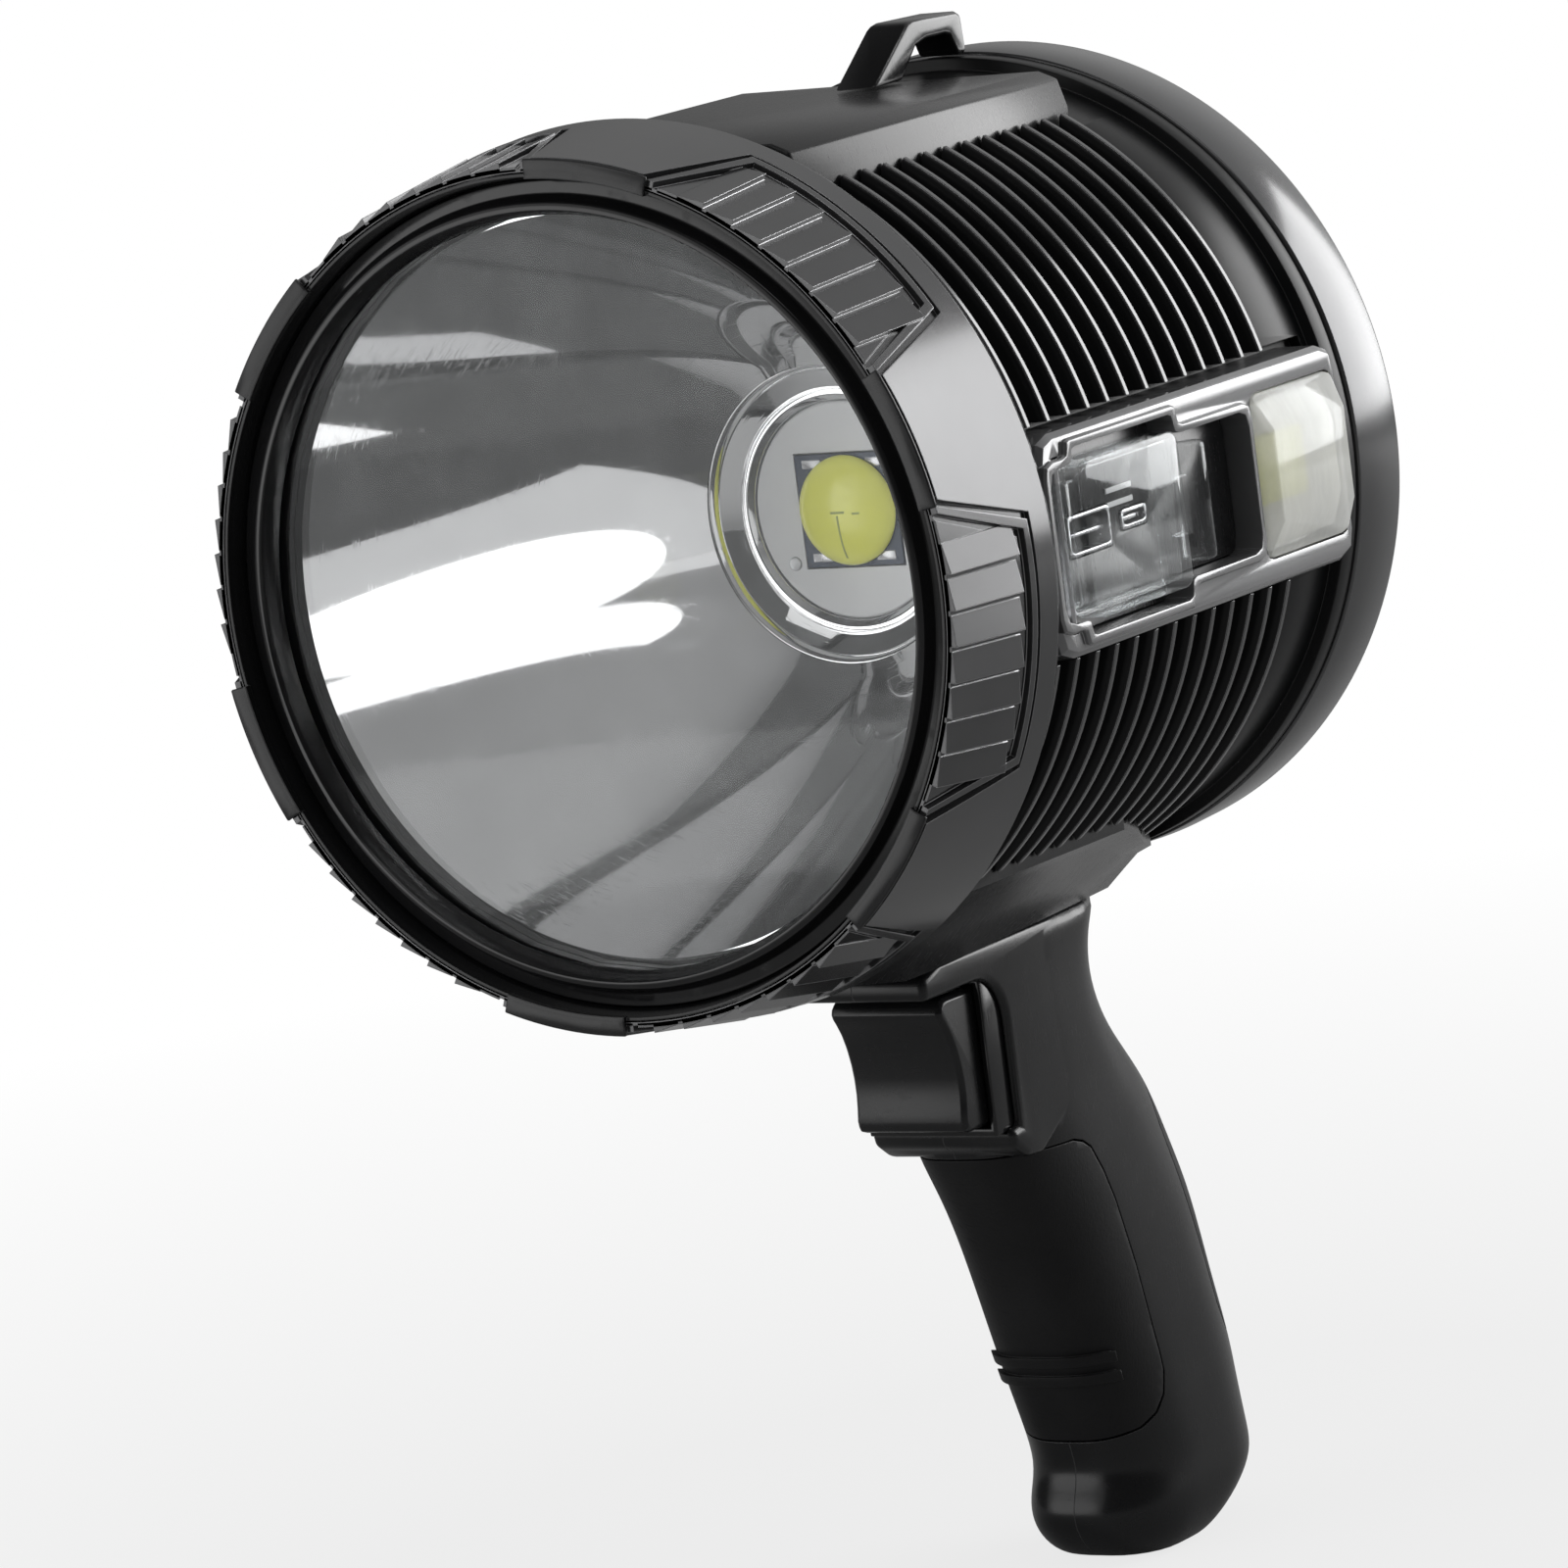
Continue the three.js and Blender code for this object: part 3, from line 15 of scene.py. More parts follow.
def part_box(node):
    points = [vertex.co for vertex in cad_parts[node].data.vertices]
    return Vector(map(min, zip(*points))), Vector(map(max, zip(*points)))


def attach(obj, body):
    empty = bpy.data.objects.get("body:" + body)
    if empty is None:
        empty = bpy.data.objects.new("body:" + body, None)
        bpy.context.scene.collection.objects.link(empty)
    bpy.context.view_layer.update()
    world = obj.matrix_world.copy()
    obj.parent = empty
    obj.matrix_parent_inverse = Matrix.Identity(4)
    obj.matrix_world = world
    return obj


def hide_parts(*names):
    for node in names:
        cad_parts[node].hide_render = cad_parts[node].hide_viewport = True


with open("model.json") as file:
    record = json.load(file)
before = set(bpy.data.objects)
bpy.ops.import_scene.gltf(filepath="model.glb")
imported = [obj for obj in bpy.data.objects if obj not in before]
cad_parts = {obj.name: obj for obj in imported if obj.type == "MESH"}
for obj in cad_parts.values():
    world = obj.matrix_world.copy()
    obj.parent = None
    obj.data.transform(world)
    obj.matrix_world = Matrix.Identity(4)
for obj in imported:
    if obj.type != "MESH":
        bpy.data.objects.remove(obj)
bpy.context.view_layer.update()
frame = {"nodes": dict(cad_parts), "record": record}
nodes = frame["nodes"]
mm = 0.001
quarter = math.pi / 2
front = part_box("bezel_ring")[0].y
low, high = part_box("rear_ring")
beam = (low.z + high.z) / 2
axis_point = Vector((0, front, beam))
print("nodes:", len(nodes), "front:", round(front, 4), "beam height:", round(beam, 4))

# %% [markdown]
# Lengths are written in millimetres along the beam: a station counts back from the bezel's front
# edge, a height counts up from the beam's axis, and an angle turns from the panel's side (0) to the
# top (90). Two functions turn them into places in the frame. Three more go the other way and
# measure a solid, to a hundredth of a millimetre, so that what is made here follows it.

# %% Places on the lamp
def place(x, station, height):
    return Vector((x * mm, front + station * mm, beam + height * mm))


def round_place(radius, station, angle):
    turn = math.radians(angle)
    return place(radius * math.cos(turn), station, radius * math.sin(turn))


# %% Measures of a solid
def stations_of(node):
    low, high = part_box(node)
    return round((low.y - front) / mm, 2), round((high.y - front) / mm, 2)


def heights_of(node):
    low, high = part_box(node)
    return round((low.z - beam) / mm, 2), round((high.z - beam) / mm, 2)


def widths_of(node):
    low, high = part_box(node)
    return round(low.x / mm, 2), round(high.x / mm, 2)


print("barrel, stations:", stations_of("barrel_housing"), "across:", widths_of("barrel_housing"))


# %% [markdown]
# Most pieces of a lamp like this are turned or pressed shapes. By hand one would draw a section
# point by point and then spin or extrude it, so the same is done here: one vertex is extruded along
# the section. A spin gives the round pieces, an extrude gives the flat ones. An operator acts on all
# that is selected, so the first helpers clear the selection and choose one piece.

# %% Choose and join
seam_gap = 0.002 * mm


def leave_all():
    if bpy.context.object and bpy.context.object.mode != "OBJECT":
        bpy.ops.object.mode_set(mode="OBJECT")
    bpy.ops.object.select_all(action="DESELECT")


def pick(obj):
    leave_all()
    bpy.context.view_layer.objects.active = obj
    obj.select_set(True)


def edit_all(obj):
    pick(obj)
    bpy.ops.object.mode_set(mode="EDIT")
    bpy.ops.mesh.select_all(action="SELECT")


def join(pieces):
    leave_all()
    for piece in pieces:
        piece.select_set(True)
    bpy.context.view_layer.objects.active = pieces[0]
    bpy.ops.object.join()
    return pieces[0]


# %% Draw a section
def draw(name, points):
    leave_all()
    bpy.ops.mesh.primitive_plane_add(size=mm, location=(0, 0, 0))
    obj = bpy.context.object
    obj.name = name
    bpy.ops.object.mode_set(mode="EDIT")
    bpy.ops.mesh.select_mode(type="VERT")
    bpy.ops.mesh.merge(type="CENTER")
    bpy.ops.transform.translate(value=points[0])
    for start, end in zip(points, points[1:]):
        bpy.ops.mesh.extrude_region_move(TRANSFORM_OT_translate={"value": end - start})
    bpy.ops.mesh.select_all(action="SELECT")
    return obj


def close_up(obj):
    bpy.ops.mesh.select_all(action="SELECT")
    bpy.ops.mesh.remove_doubles(threshold=seam_gap)
    bpy.ops.mesh.normals_make_consistent(inside=False)
    bpy.ops.object.mode_set(mode="OBJECT")
    return obj


# %% Spin, extrude and bridge
def turned(name, section, steps=240):
    points = [place(radius, station, 0) for radius, station in section]
    if section[0][0] > 0 or section[-1][0] > 0:
        points.append(points[0])
    obj = draw(name, points)
    bpy.ops.mesh.spin(steps=steps, angle=2 * math.pi, center=axis_point, axis=(0, 1, 0))
    return close_up(obj)


def pressed(name, outline, run, shrink=1.0):
    obj = draw(name, [*outline, outline[0]])
    bpy.ops.mesh.remove_doubles(threshold=seam_gap)
    bpy.ops.mesh.edge_face_add()
    bpy.ops.mesh.extrude_region_move(TRANSFORM_OT_translate={"value": run})
    if shrink != 1.0:
        bpy.ops.transform.resize(value=(shrink, 1, shrink), center_override=axis_point)
    return close_up(obj)


def bridged(name, first, second):
    loops = []
    for ring in (first, second):
        loops.append(draw(name, [*ring, ring[0]]))
        bpy.ops.mesh.remove_doubles(threshold=seam_gap)
        bpy.ops.object.mode_set(mode="OBJECT")
    obj = join(loops)
    bpy.ops.object.mode_set(mode="EDIT")
    bpy.ops.mesh.select_all(action="SELECT")
    bpy.ops.mesh.bridge_edge_loops()
    bpy.ops.mesh.select_all(action="SELECT")
    bpy.ops.mesh.fill_holes(sides=0)
    return close_up(obj)


# %% Blocks and round bars
def box_piece(name, x, station, height):
    corners = [(x[0], height[0]), (x[1], height[0]), (x[1], height[1]), (x[0], height[1])]
    outline = [place(u, station[0], v) for u, v in corners]
    return pressed(name, outline, (0, (station[1] - station[0]) * mm, 0))


def peg(name, radius, length, at, axis, sides=32):
    leave_all()
    turn = {"x": (0, quarter, 0), "y": (quarter, 0, 0), "z": (0, 0, 0)}[axis]
    bpy.ops.mesh.primitive_cylinder_add(vertices=sides, radius=radius * mm, depth=length * mm,
                                        location=at, rotation=turn)
    obj = bpy.context.object
    obj.name = name
    bpy.ops.object.transform_apply(location=True, rotation=True, scale=True)
    return obj


# %% [markdown]
# Booleans cut and join, a bevel breaks the sharp edges that a mould can't make, and smoothing by
# angle keeps flat faces flat. A cutter is deleted once it has been used.

# %% Cut, join, soften
def apply_modifier(obj, kind, **settings):
    pick(obj)
    modifier = obj.modifiers.new(kind.lower(), kind)
    for key, value in settings.items():
        setattr(modifier, key, value)
    bpy.ops.object.modifier_apply(modifier=modifier.name)
    return obj


def combine(obj, tool, operation="DIFFERENCE"):
    apply_modifier(obj, "BOOLEAN", operation=operation, solver="EXACT", object=tool)
    bpy.data.objects.remove(tool)
    return obj


def soften(obj, width, segments=2, angle=30):
    return apply_modifier(obj, "BEVEL", width=width * mm, segments=segments, limit_method="ANGLE",
                          angle_limit=math.radians(angle), use_clamp_overlap=True)


def around(obj, count):
    edit_all(obj)
    for _ in range(count - 1):
        bpy.ops.mesh.duplicate()
        bpy.ops.transform.rotate(value=2 * math.pi / count, orient_axis="Y",
                                 center_override=axis_point)
    bpy.ops.object.mode_set(mode="OBJECT")
    return obj


def slice_off(obj, point, normal):
    edit_all(obj)
    bpy.ops.mesh.bisect(plane_co=point, plane_no=normal, use_fill=True, clear_outer=True)
    return close_up(obj)


# %% Copies of pieces and of the frame's solids
def copy_piece(obj, name):
    twin = obj.copy()
    twin.data = obj.data.copy()
    twin.name = name
    bpy.context.scene.collection.objects.link(twin)
    return twin


def copy_of(node, name):
    mesh = nodes[node].data.copy()
    obj = bpy.data.objects.new(name, mesh)
    bpy.context.scene.collection.objects.link(obj)
    mesh.materials.clear()
    edit_all(obj)
    bpy.ops.mesh.remove_doubles(threshold=seam_gap)
    bpy.ops.mesh.dissolve_limited(angle_limit=math.radians(1))
    bpy.ops.mesh.customdata_custom_splitnormals_clear()
    bpy.ops.object.mode_set(mode="OBJECT")
    return obj


# %% [markdown]
# A finished piece is smoothed, given its finish and tied to the moving body that carries it. The
# solid whose place it takes is then hidden. A small extra takes no solid's place, and rides on the
# lamp.

# %% Finish a piece
body_of = {node: body for body, members in frame["record"]["behaviour"]["bodies"].items()
           for node in members}
slot_of = {part["node"]: part["material_slot"] for part in frame["record"]["subparts"]}
finishes = {}


def done(obj, *replaced, slot=None, angle=32, finish=None):
    pick(obj)
    bpy.ops.object.shade_smooth_by_angle(angle=math.radians(angle))
    slot = slot or slot_of[replaced[0]]
    obj.data.materials.clear()
    obj.data.materials.append(finishes[finish or slot])
    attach(obj, body_of[replaced[0]] if replaced else "lamp")
    if replaced:
        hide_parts(*replaced)
    print(obj.name, len(obj.data.polygons), "faces")
    return obj


# %% [markdown]
# # Finishes
# A finish is a small network of nodes. Sums and products of a pattern are written as plain Python:
# the class below wraps a socket, and each operator adds the Math node that does the sum.

# %% Sums on patterns
class Pattern:
    def __init__(self, finish, socket):
        self.finish, self.socket = finish, socket

    def math(self, operation, first, second):
        return self.finish.node("ShaderNodeMath", {"operation": operation}, {0: first, 1: second})

    def __add__(self, other):
        return self.math("ADD", self, other)

    def __sub__(self, other):
        return self.math("SUBTRACT", self, other)

    def __rsub__(self, other):
        return self.math("SUBTRACT", other, self)

    def __mul__(self, other):
        return self.math("MULTIPLY", self, other)

    def __pow__(self, other):
        return self.math("POWER", self, other)

    __radd__ = __add__
    __rmul__ = __mul__


# %% Nodes of a finish
class Finish:
    def __init__(self, owner, output="ShaderNodeOutputMaterial"):
        owner.use_nodes = True
        self.tree = owner.node_tree
        self.tree.nodes.clear()
        self.out = self.tree.nodes.new(output)

    def node(self, kind, settings=None, inputs=None, output=0):
        made = self.tree.nodes.new(kind)
        for key, value in (settings or {}).items():
            if key == "stops":
                ramp = made.color_ramp
                for i, (position, shade) in enumerate(value):
                    stop = ramp.elements[i] if i < 2 else ramp.elements.new(position)
                    stop.position, stop.color = position, (shade, shade, shade, 1)
            else:
                setattr(made, key, value)
        for key, value in (inputs or {}).items():
            if isinstance(value, Pattern):
                self.tree.links.new(value.socket, made.inputs[key])
            else:
                made.inputs[key].default_value = value
        return Pattern(self, made.outputs[output])

    def show(self, shader):
        self.tree.links.new(shader.socket, self.out.inputs["Surface"])


def new_finish(name):
    finishes[name] = bpy.data.materials.new(name)
    return Finish(finishes[name])


# %% [markdown]
# Real surfaces are never one colour. Four patterns on Object coordinates serve all the finishes:
# broad clouds for handling marks, a fine grain for the mould's texture, thin rubbed lines, and the
# difference between the true normal and a rounded one, which is large only at edges. Paint and
# plastic wear there first, and there the colour is also lightened as a painted highlight.

# %% Patterns shared by the finishes
def spot(finish, scale=(1, 1, 1)):
    here = finish.node("ShaderNodeTexCoord", output="Object")
    return finish.node("ShaderNodeMapping", {}, {"Vector": here, "Scale": scale})


def noise(finish, scale, detail=3.0, rough=0.55, stretch=(1, 1, 1)):
    return finish.node("ShaderNodeTexNoise", {"noise_dimensions": "3D"}, {
        "Vector": spot(finish, stretch), "Scale": scale, "Detail": detail, "Roughness": rough})


def ramp(finish, value, stops):
    return finish.node("ShaderNodeValToRGB", {"stops": stops}, {"Fac": value})


def rounded_normal(finish, radius):
    if radius == 0:
        return finish.node("ShaderNodeNewGeometry", output="Normal")
    return finish.node("ShaderNodeBevel", {"samples": 6}, {"Radius": radius * mm})


def edge_mask(finish, rounded, gain):
    true = finish.node("ShaderNodeNewGeometry", output="True Normal")
    likeness = finish.node("ShaderNodeVectorMath", {"operation": "DOT_PRODUCT"},
                           {0: rounded, 1: true}, "Value")
    return finish.node("ShaderNodeClamp", {}, {"Value": (1 - likeness) * gain})


def blend_colors(finish, factor, first, second):
    first, second = [color if isinstance(color, Pattern) else (*color, 1)
                     for color in (first, second)]
    return finish.node("ShaderNodeMix", {"data_type": "RGBA"}, {0: factor, 6: first, 7: second}, 2)


# %% [markdown]
# Every opaque finish is the same recipe with other numbers: base colour between two near shades,
# lighter at the edges, partly for wear and partly as a painted highlight, roughness that follows
# clouds and rubbed lines, and a bump from the grain on top of the rounded edges.

# %% The common recipe
def opaque(name, color, cloud_color, wear_and_highlight_color, roughness, spread=0.1, metallic=0.0,
           grain=(2200, 0.02), edge=0.25, wear_and_highlight_gain=2.0, lines=0.12, coat=0.0, specular=0.5):
    finish = new_finish(name)
    clouds = noise(finish, 42, 5, 0.6)
    grainy = noise(finish, grain[0], 2, 0.5)
    rubbed = ramp(finish, noise(finish, 260, 2, 0.5, (1, 12, 1)), [(0.60, 0), (0.72, 1)])
    rounded = rounded_normal(finish, edge)
    patchy = ramp(finish, noise(finish, 160, 3, 0.6), [(0.3, 0.65), (0.6, 1)])
    # Lighter edges: partly wear, partly a painted highlight for light caught along the edges
    wear_and_highlight = edge_mask(finish, rounded, wear_and_highlight_gain) * patchy
    cloudy = ramp(finish, clouds, [(0.35, 0), (0.68, 1)])
    base = blend_colors(finish, cloudy, color, cloud_color)
    base = blend_colors(finish, wear_and_highlight, base, wear_and_highlight_color)
    gloss = (clouds - 0.5) * spread + rubbed * lines + (grainy - 0.5) * 0.06 + roughness
    bump = finish.node("ShaderNodeBump", {}, {
        "Height": grainy + rubbed * 0.25, "Strength": 1.0, "Distance": grain[1] * mm,
        "Normal": rounded})
    finish.show(finish.node("ShaderNodeBsdfPrincipled", {}, {
        "Base Color": base, "Metallic": metallic, "Roughness": gloss, "Normal": bump,
        "Coat Weight": coat, "Coat Roughness": 0.12, "Specular IOR Level": specular}))


# %% [markdown]
# The plastics and the rubber come first. Each line gives the base shade, the clouded shade and the
# lighter shade of the edges, wear and painted highlight in one, then the roughness and how much the
# clouds change it.

# %% Plastics and rubber
opaque("black_plastic", (0.006, 0.0061, 0.0065), (0.009, 0.0092, 0.0098), (0.13, 0.13, 0.132),
       0.25, 0.08, grain=(2200, 0.005), specular=0.32, lines=0.04)
opaque("gloss_black", (0.005, 0.005, 0.0054), (0.007, 0.007, 0.0074), (0.09, 0.09, 0.092),
       0.15, 0.06, grain=(1400, 0.002), specular=0.4)
# The satin's light edge shade is mostly a painted highlight on the bezel's pad ribs and borders
opaque("satin_grey", (0.05, 0.0502, 0.0515), (0.06, 0.0605, 0.062), (0.42, 0.42, 0.43),
       0.19, 0.04, metallic=0.6, grain=(3000, 0.0015), lines=0.03, coat=0.25, wear_and_highlight_gain=4.0)
# The side panel's satin made lighter: a painted highlight for the bright sheen on the lit panel
opaque("panel_satin_painted_sheen", (0.14, 0.1405, 0.143), (0.16, 0.161, 0.164), (0.5, 0.5, 0.51),
       0.22, 0.05, metallic=0.6, grain=(3000, 0.0015), lines=0.03, coat=0.25, wear_and_highlight_gain=4.0)
opaque("fin_black", (0.004, 0.0041, 0.0044), (0.006, 0.0062, 0.0066), (0.06, 0.06, 0.061),
       0.33, 0.08, grain=(2200, 0.005), specular=0.16, lines=0.04)
opaque("soft_rubber", (0.007, 0.007, 0.0075), (0.011, 0.011, 0.0115), (0.04, 0.04, 0.041),
       0.5, 0.14, grain=(1500, 0.03), specular=0.18)
print("plastics and rubber:", list(finishes))

# %% [markdown]
# The bowl is metallised plastic: almost a mirror, with the faint unevenness of its moulding. Metal
# pieces use the same recipe with full metallic, and the boards, enamel, phosphor and cell film are
# the same recipe with their own colours.

# %% Metals, boards and inner finishes
opaque("mirror_coat", (0.84, 0.84, 0.845), (0.81, 0.81, 0.815), (0.86, 0.86, 0.87),
       0.035, 0.015, metallic=1.0, grain=(45, 0.01), edge=0, lines=0.008)
opaque("steel", (0.50, 0.50, 0.51), (0.42, 0.42, 0.43), (0.66, 0.66, 0.66),
       0.24, 0.12, metallic=1.0, grain=(1800, 0.01), lines=0.15)
opaque("cast_aluminium", (0.48, 0.485, 0.49), (0.40, 0.405, 0.41), (0.62, 0.62, 0.63),
       0.44, 0.16, metallic=1.0, grain=(900, 0.06))
opaque("pale_enamel", (0.80, 0.805, 0.81), (0.74, 0.745, 0.755), (0.82, 0.82, 0.82),
       0.34, 0.1, grain=(900, 0.02))
opaque("white_enamel", (0.86, 0.86, 0.85), (0.82, 0.82, 0.81), (0.88, 0.88, 0.88),
       0.3, 0.1, grain=(900, 0.02))
opaque("board_blue", (0.010, 0.026, 0.062), (0.014, 0.034, 0.078), (0.08, 0.09, 0.11),
       0.3, 0.1, grain=(700, 0.02))
opaque("board_green", (0.015, 0.075, 0.035), (0.02, 0.095, 0.045), (0.15, 0.13, 0.06),
       0.32, 0.1, grain=(700, 0.02))
opaque("phosphor", (0.94, 0.95, 0.13), (0.96, 0.97, 0.20), (0.95, 0.96, 0.35),
       0.3, 0.1, grain=(1300, 0.01), coat=0.4)
opaque("phosphor_seam", (0.42, 0.47, 0.12), (0.48, 0.52, 0.16), (0.5, 0.54, 0.2),
       0.4, 0.1, grain=(1300, 0.01))
opaque("cell_wrap", (0.035, 0.12, 0.32), (0.045, 0.14, 0.36), (0.2, 0.26, 0.36),
       0.26, 0.1, grain=(500, 0.02), coat=0.3)
print("finishes so far:", len(finishes))

# %% [markdown]
# Lens and covers are clear. Real glass would throw its shadow on what lies behind it, which a
# renderer without caustics leaves too dark, so a thin clear piece is a mix of see-through and
# glossy, weighted by the angle of view as Schlick's form of Fresnel's law does, with faint wipe marks
# in the gloss. The side light's window is also a little milky.

# %% Clear pieces
mirrored_head_on = 0.042


def clear(name, tint, gloss, lift, edge, milk=0.0):
    finish = new_finish(name)
    smears = ramp(finish, noise(finish, 55, 5, 0.65, (1, 3, 1)), [(0.45, 0), (0.8, 1)])
    rounded = rounded_normal(finish, edge)
    ripple = finish.node("ShaderNodeBump", {}, {
        "Height": noise(finish, 130, 2), "Strength": 1.0, "Distance": 0.004 * mm,
        "Normal": rounded})
    slant = finish.node("ShaderNodeLayerWeight", {}, {"Blend": 0.5, "Normal": ripple}, "Facing")
    see_through = finish.node("ShaderNodeBsdfTransparent", {}, {"Color": (*tint, 1)})
    shine = finish.node("ShaderNodeBsdfGlossy", {}, {
        "Color": (0.95, 0.97, 0.98, 1), "Roughness": smears * 0.08 + gloss, "Normal": ripple})
    mirrored = (slant ** 5 + mirrored_head_on) * lift + smears * 0.01
    factor = finish.node("ShaderNodeClamp", {}, {"Value": mirrored})
    surface = finish.node("ShaderNodeMixShader", {}, {0: factor, 1: see_through, 2: shine})
    if milk:
        cloudy = finish.node("ShaderNodeBsdfDiffuse", {}, {"Color": (0.92, 0.925, 0.90, 1)})
        surface = finish.node("ShaderNodeMixShader", {}, {
            0: smears * 0.1 + milk, 1: surface, 2: cloudy})
    finish.show(surface)


clear("lens_glass", (0.985, 0.988, 0.988), 0.015, 0.4, 0.3)
clear("clear_plastic", (0.95, 0.955, 0.955), 0.03, 0.95, 0.6)
clear("milky_plastic", (0.96, 0.96, 0.95), 0.06, 0.8, 0.6, milk=0.4)
print("clear finishes made")

# %% [markdown]
# # Front of the head
# The bezel is a flared ring that is screwed on by hand. It is turned first. Each grip pad is then a
# shallow scoop with slanted ends: an arc at the front edge is bridged to a shorter one behind it,
# farther out with the flare. Making one pad and turning copies of it round the axis keeps all six
# alike.

# %% Grip pads
pad_count, pad_middle = 6, 49.5
pad_half, pad_half_rear, pad_length = 21.5, 16.5, 22.5
skin_front, skin_rear, bezel_length = 75.0, 77.05, stations_of("bezel_ring")[1]
field_front, field_rear, field_length = 73.5, 76.1, 19.1


def field_radius(station):
    return field_front + (field_rear - field_front) * station / field_length


def arc_section(station, low, high, half, count=28):
    angles = [pad_middle - half + 2 * half * i / count for i in range(count + 1)]
    base = field_radius(station)
    section = [round_place(base + low, station, angle) for angle in angles]
    return section + [round_place(base + high, station, angle) for angle in reversed(angles)]


def pad_block(name, inset, low, high, start=0.0):
    turn = math.degrees(inset / skin_front)
    front_half, rear_half, length = pad_half - turn, pad_half_rear - turn, pad_length - inset
    start_half = front_half + (front_half - rear_half) * -start / length
    return bridged(name, arc_section(start, low, high, start_half),
                   arc_section(length, low, high, rear_half))


# %% Bezel ring
bezel_bore, trim_seat, seat_depth = 71.6, 72.6, 4.8
widest_radius, widest_station = widths_of("bezel_ring")[1], 27.4
bezel = turned("bezel_turned", [
    (trim_seat, 0), (skin_front, 0), (widest_radius, widest_station), (skin_rear, bezel_length),
    (bezel_bore, bezel_length), (bezel_bore, seat_depth), (trim_seat, seat_depth)])
scoop = around(pad_block("scoop", inset=0, low=-0.35, high=8, start=-3), pad_count)
combine(bezel, scoop)
print("bezel before its pads:", len(bezel.data.polygons), "faces")

# %% One pad, copied round
border = pad_block("border", inset=1.05, low=-0.75, high=0.8)
combine(border, pad_block("border_hole", inset=2.35, low=-1.2, high=4, start=-1))
field = pad_block("field", inset=3.4, low=-0.75, high=0)
ribs = []
rib_count, rib_step, rib_width, rib_crest = 7, 4.7, 4.04, 1.05
reach = field_length - 1.2
flare = field_radius(reach) / field_radius(0)
for i in range(rib_count):
    ridge = pad_middle + (i - rib_count / 2) * rib_step
    foot = ridge + rib_width
    outline = [round_place(field_radius(0) + rise, 0, angle)
               for rise, angle in ((-0.4, ridge), (rib_crest, ridge), (0.1, foot), (-0.4, foot))]
    ribs.append(pressed(f"rib_{i}", outline, (0, reach * mm, 0), flare))
pad = around(join([border, field, *ribs]), pad_count)
bezel = join([bezel, pad])
bezel.name = "bezel_body"
done(bezel, "bezel_ring", angle=24)

# %% [markdown]
# A black trim ring closes the bezel's front, with six teeth that key into it, and inside it a
# stepped retainer presses on the lens. Both are turned, and the teeth are one arc copied round.

# %% Trim ring
tooth_start, tooth_step, tooth_steps = 10, 1.58, 12
tooth_root, tooth_tip = 71.5, 74.9


def tooth_arc(name, station, tip, length):
    angles = [tooth_start + tooth_step * i for i in range(tooth_steps + 1)]
    outline = [round_place(tooth_root, station, angle) for angle in angles]
    outline += [round_place(tip, station, angle) for angle in reversed(angles)]
    return pressed(name, outline, (0, length * mm, 0))


trim_rear = stations_of("bezel_trim")[1]
trim = turned("trim_turned", [(71.8, 0), (72.3, 0), (72.3, trim_rear), (71.0, trim_rear)])
tooth = tooth_arc("tooth", -1.0, tooth_tip, 0.75)
root = tooth_arc("tooth_root", -0.9, 72.2, 1.3)
tooth = around(join([soften(tooth, 0.3), root]), pad_count)
trim = join([trim, tooth])
trim.name = "trim_ring"
done(trim, "bezel_trim")

# %% Retainer and lens
retainer_front, retainer_rear = stations_of("lens_retainer")
retainer_radius, retainer_foot, lip_rear = widths_of("lens_retainer")[1], 68.6, 5.3
retainer = turned("retainer_ring", [
    (64.5, lip_rear), (65.9, retainer_front), (67.3, 1.35), (68.3, 3.8), (retainer_radius, 3.8),
    (retainer_radius, retainer_rear), (retainer_foot, retainer_rear), (retainer_foot, lip_rear)])
done(soften(retainer, 0.3), "lens_retainer")
lens_front, lens_rear = stations_of("front_lens")
lens_radius, lens_chamfer = widths_of("front_lens")[1], 0.4
lens = turned("front_window", [
    (0, lens_front), (lens_radius - lens_chamfer, lens_front),
    (lens_radius, lens_front + lens_chamfer), (lens_radius, lens_rear - lens_chamfer),
    (lens_radius - lens_chamfer, lens_rear), (0, lens_rear)], 192)
done(lens, "front_lens", angle=40)

# %% [markdown]
# # Reflector
# The bowl is a paraboloid, so its radius grows with the square root of the distance from the
# throat. The section is drawn from that formula in small steps, and spun.

# %% Bowl
throat_radius, mouth_radius, bowl_wall = 26.5, 64.0, 1.5
bowl_rim, bowl_throat = stations_of("reflector")
bowl_flange = widths_of("reflector")[1]
bowl_length, bowl_steps = bowl_throat - bowl_rim, 30


def bowl_radius(station):
    share = (bowl_throat - station) / bowl_length
    return math.sqrt(throat_radius ** 2 + (mouth_radius ** 2 - throat_radius ** 2) * share)


stations = [bowl_rim + bowl_length * i / bowl_steps for i in range(bowl_steps + 1)]
flange_rear = bowl_rim + bowl_wall
section = [(bowl_radius(s), s) for s in stations]
section += [(bowl_radius(s) + bowl_wall, s) for s in reversed(stations[2:])]
section += [(bowl_radius(flange_rear) + bowl_wall, flange_rear), (bowl_flange, flange_rear),
            (bowl_flange, bowl_rim)]
done(turned("reflector_bowl", section), "reflector", angle=40)

# %% Stepped collar
collar_front, collar_rear = stations_of("reflector_collar")
collar_outer, collar_width = widths_of("reflector_collar")[1], 8.4
collar_depth = collar_rear - collar_front
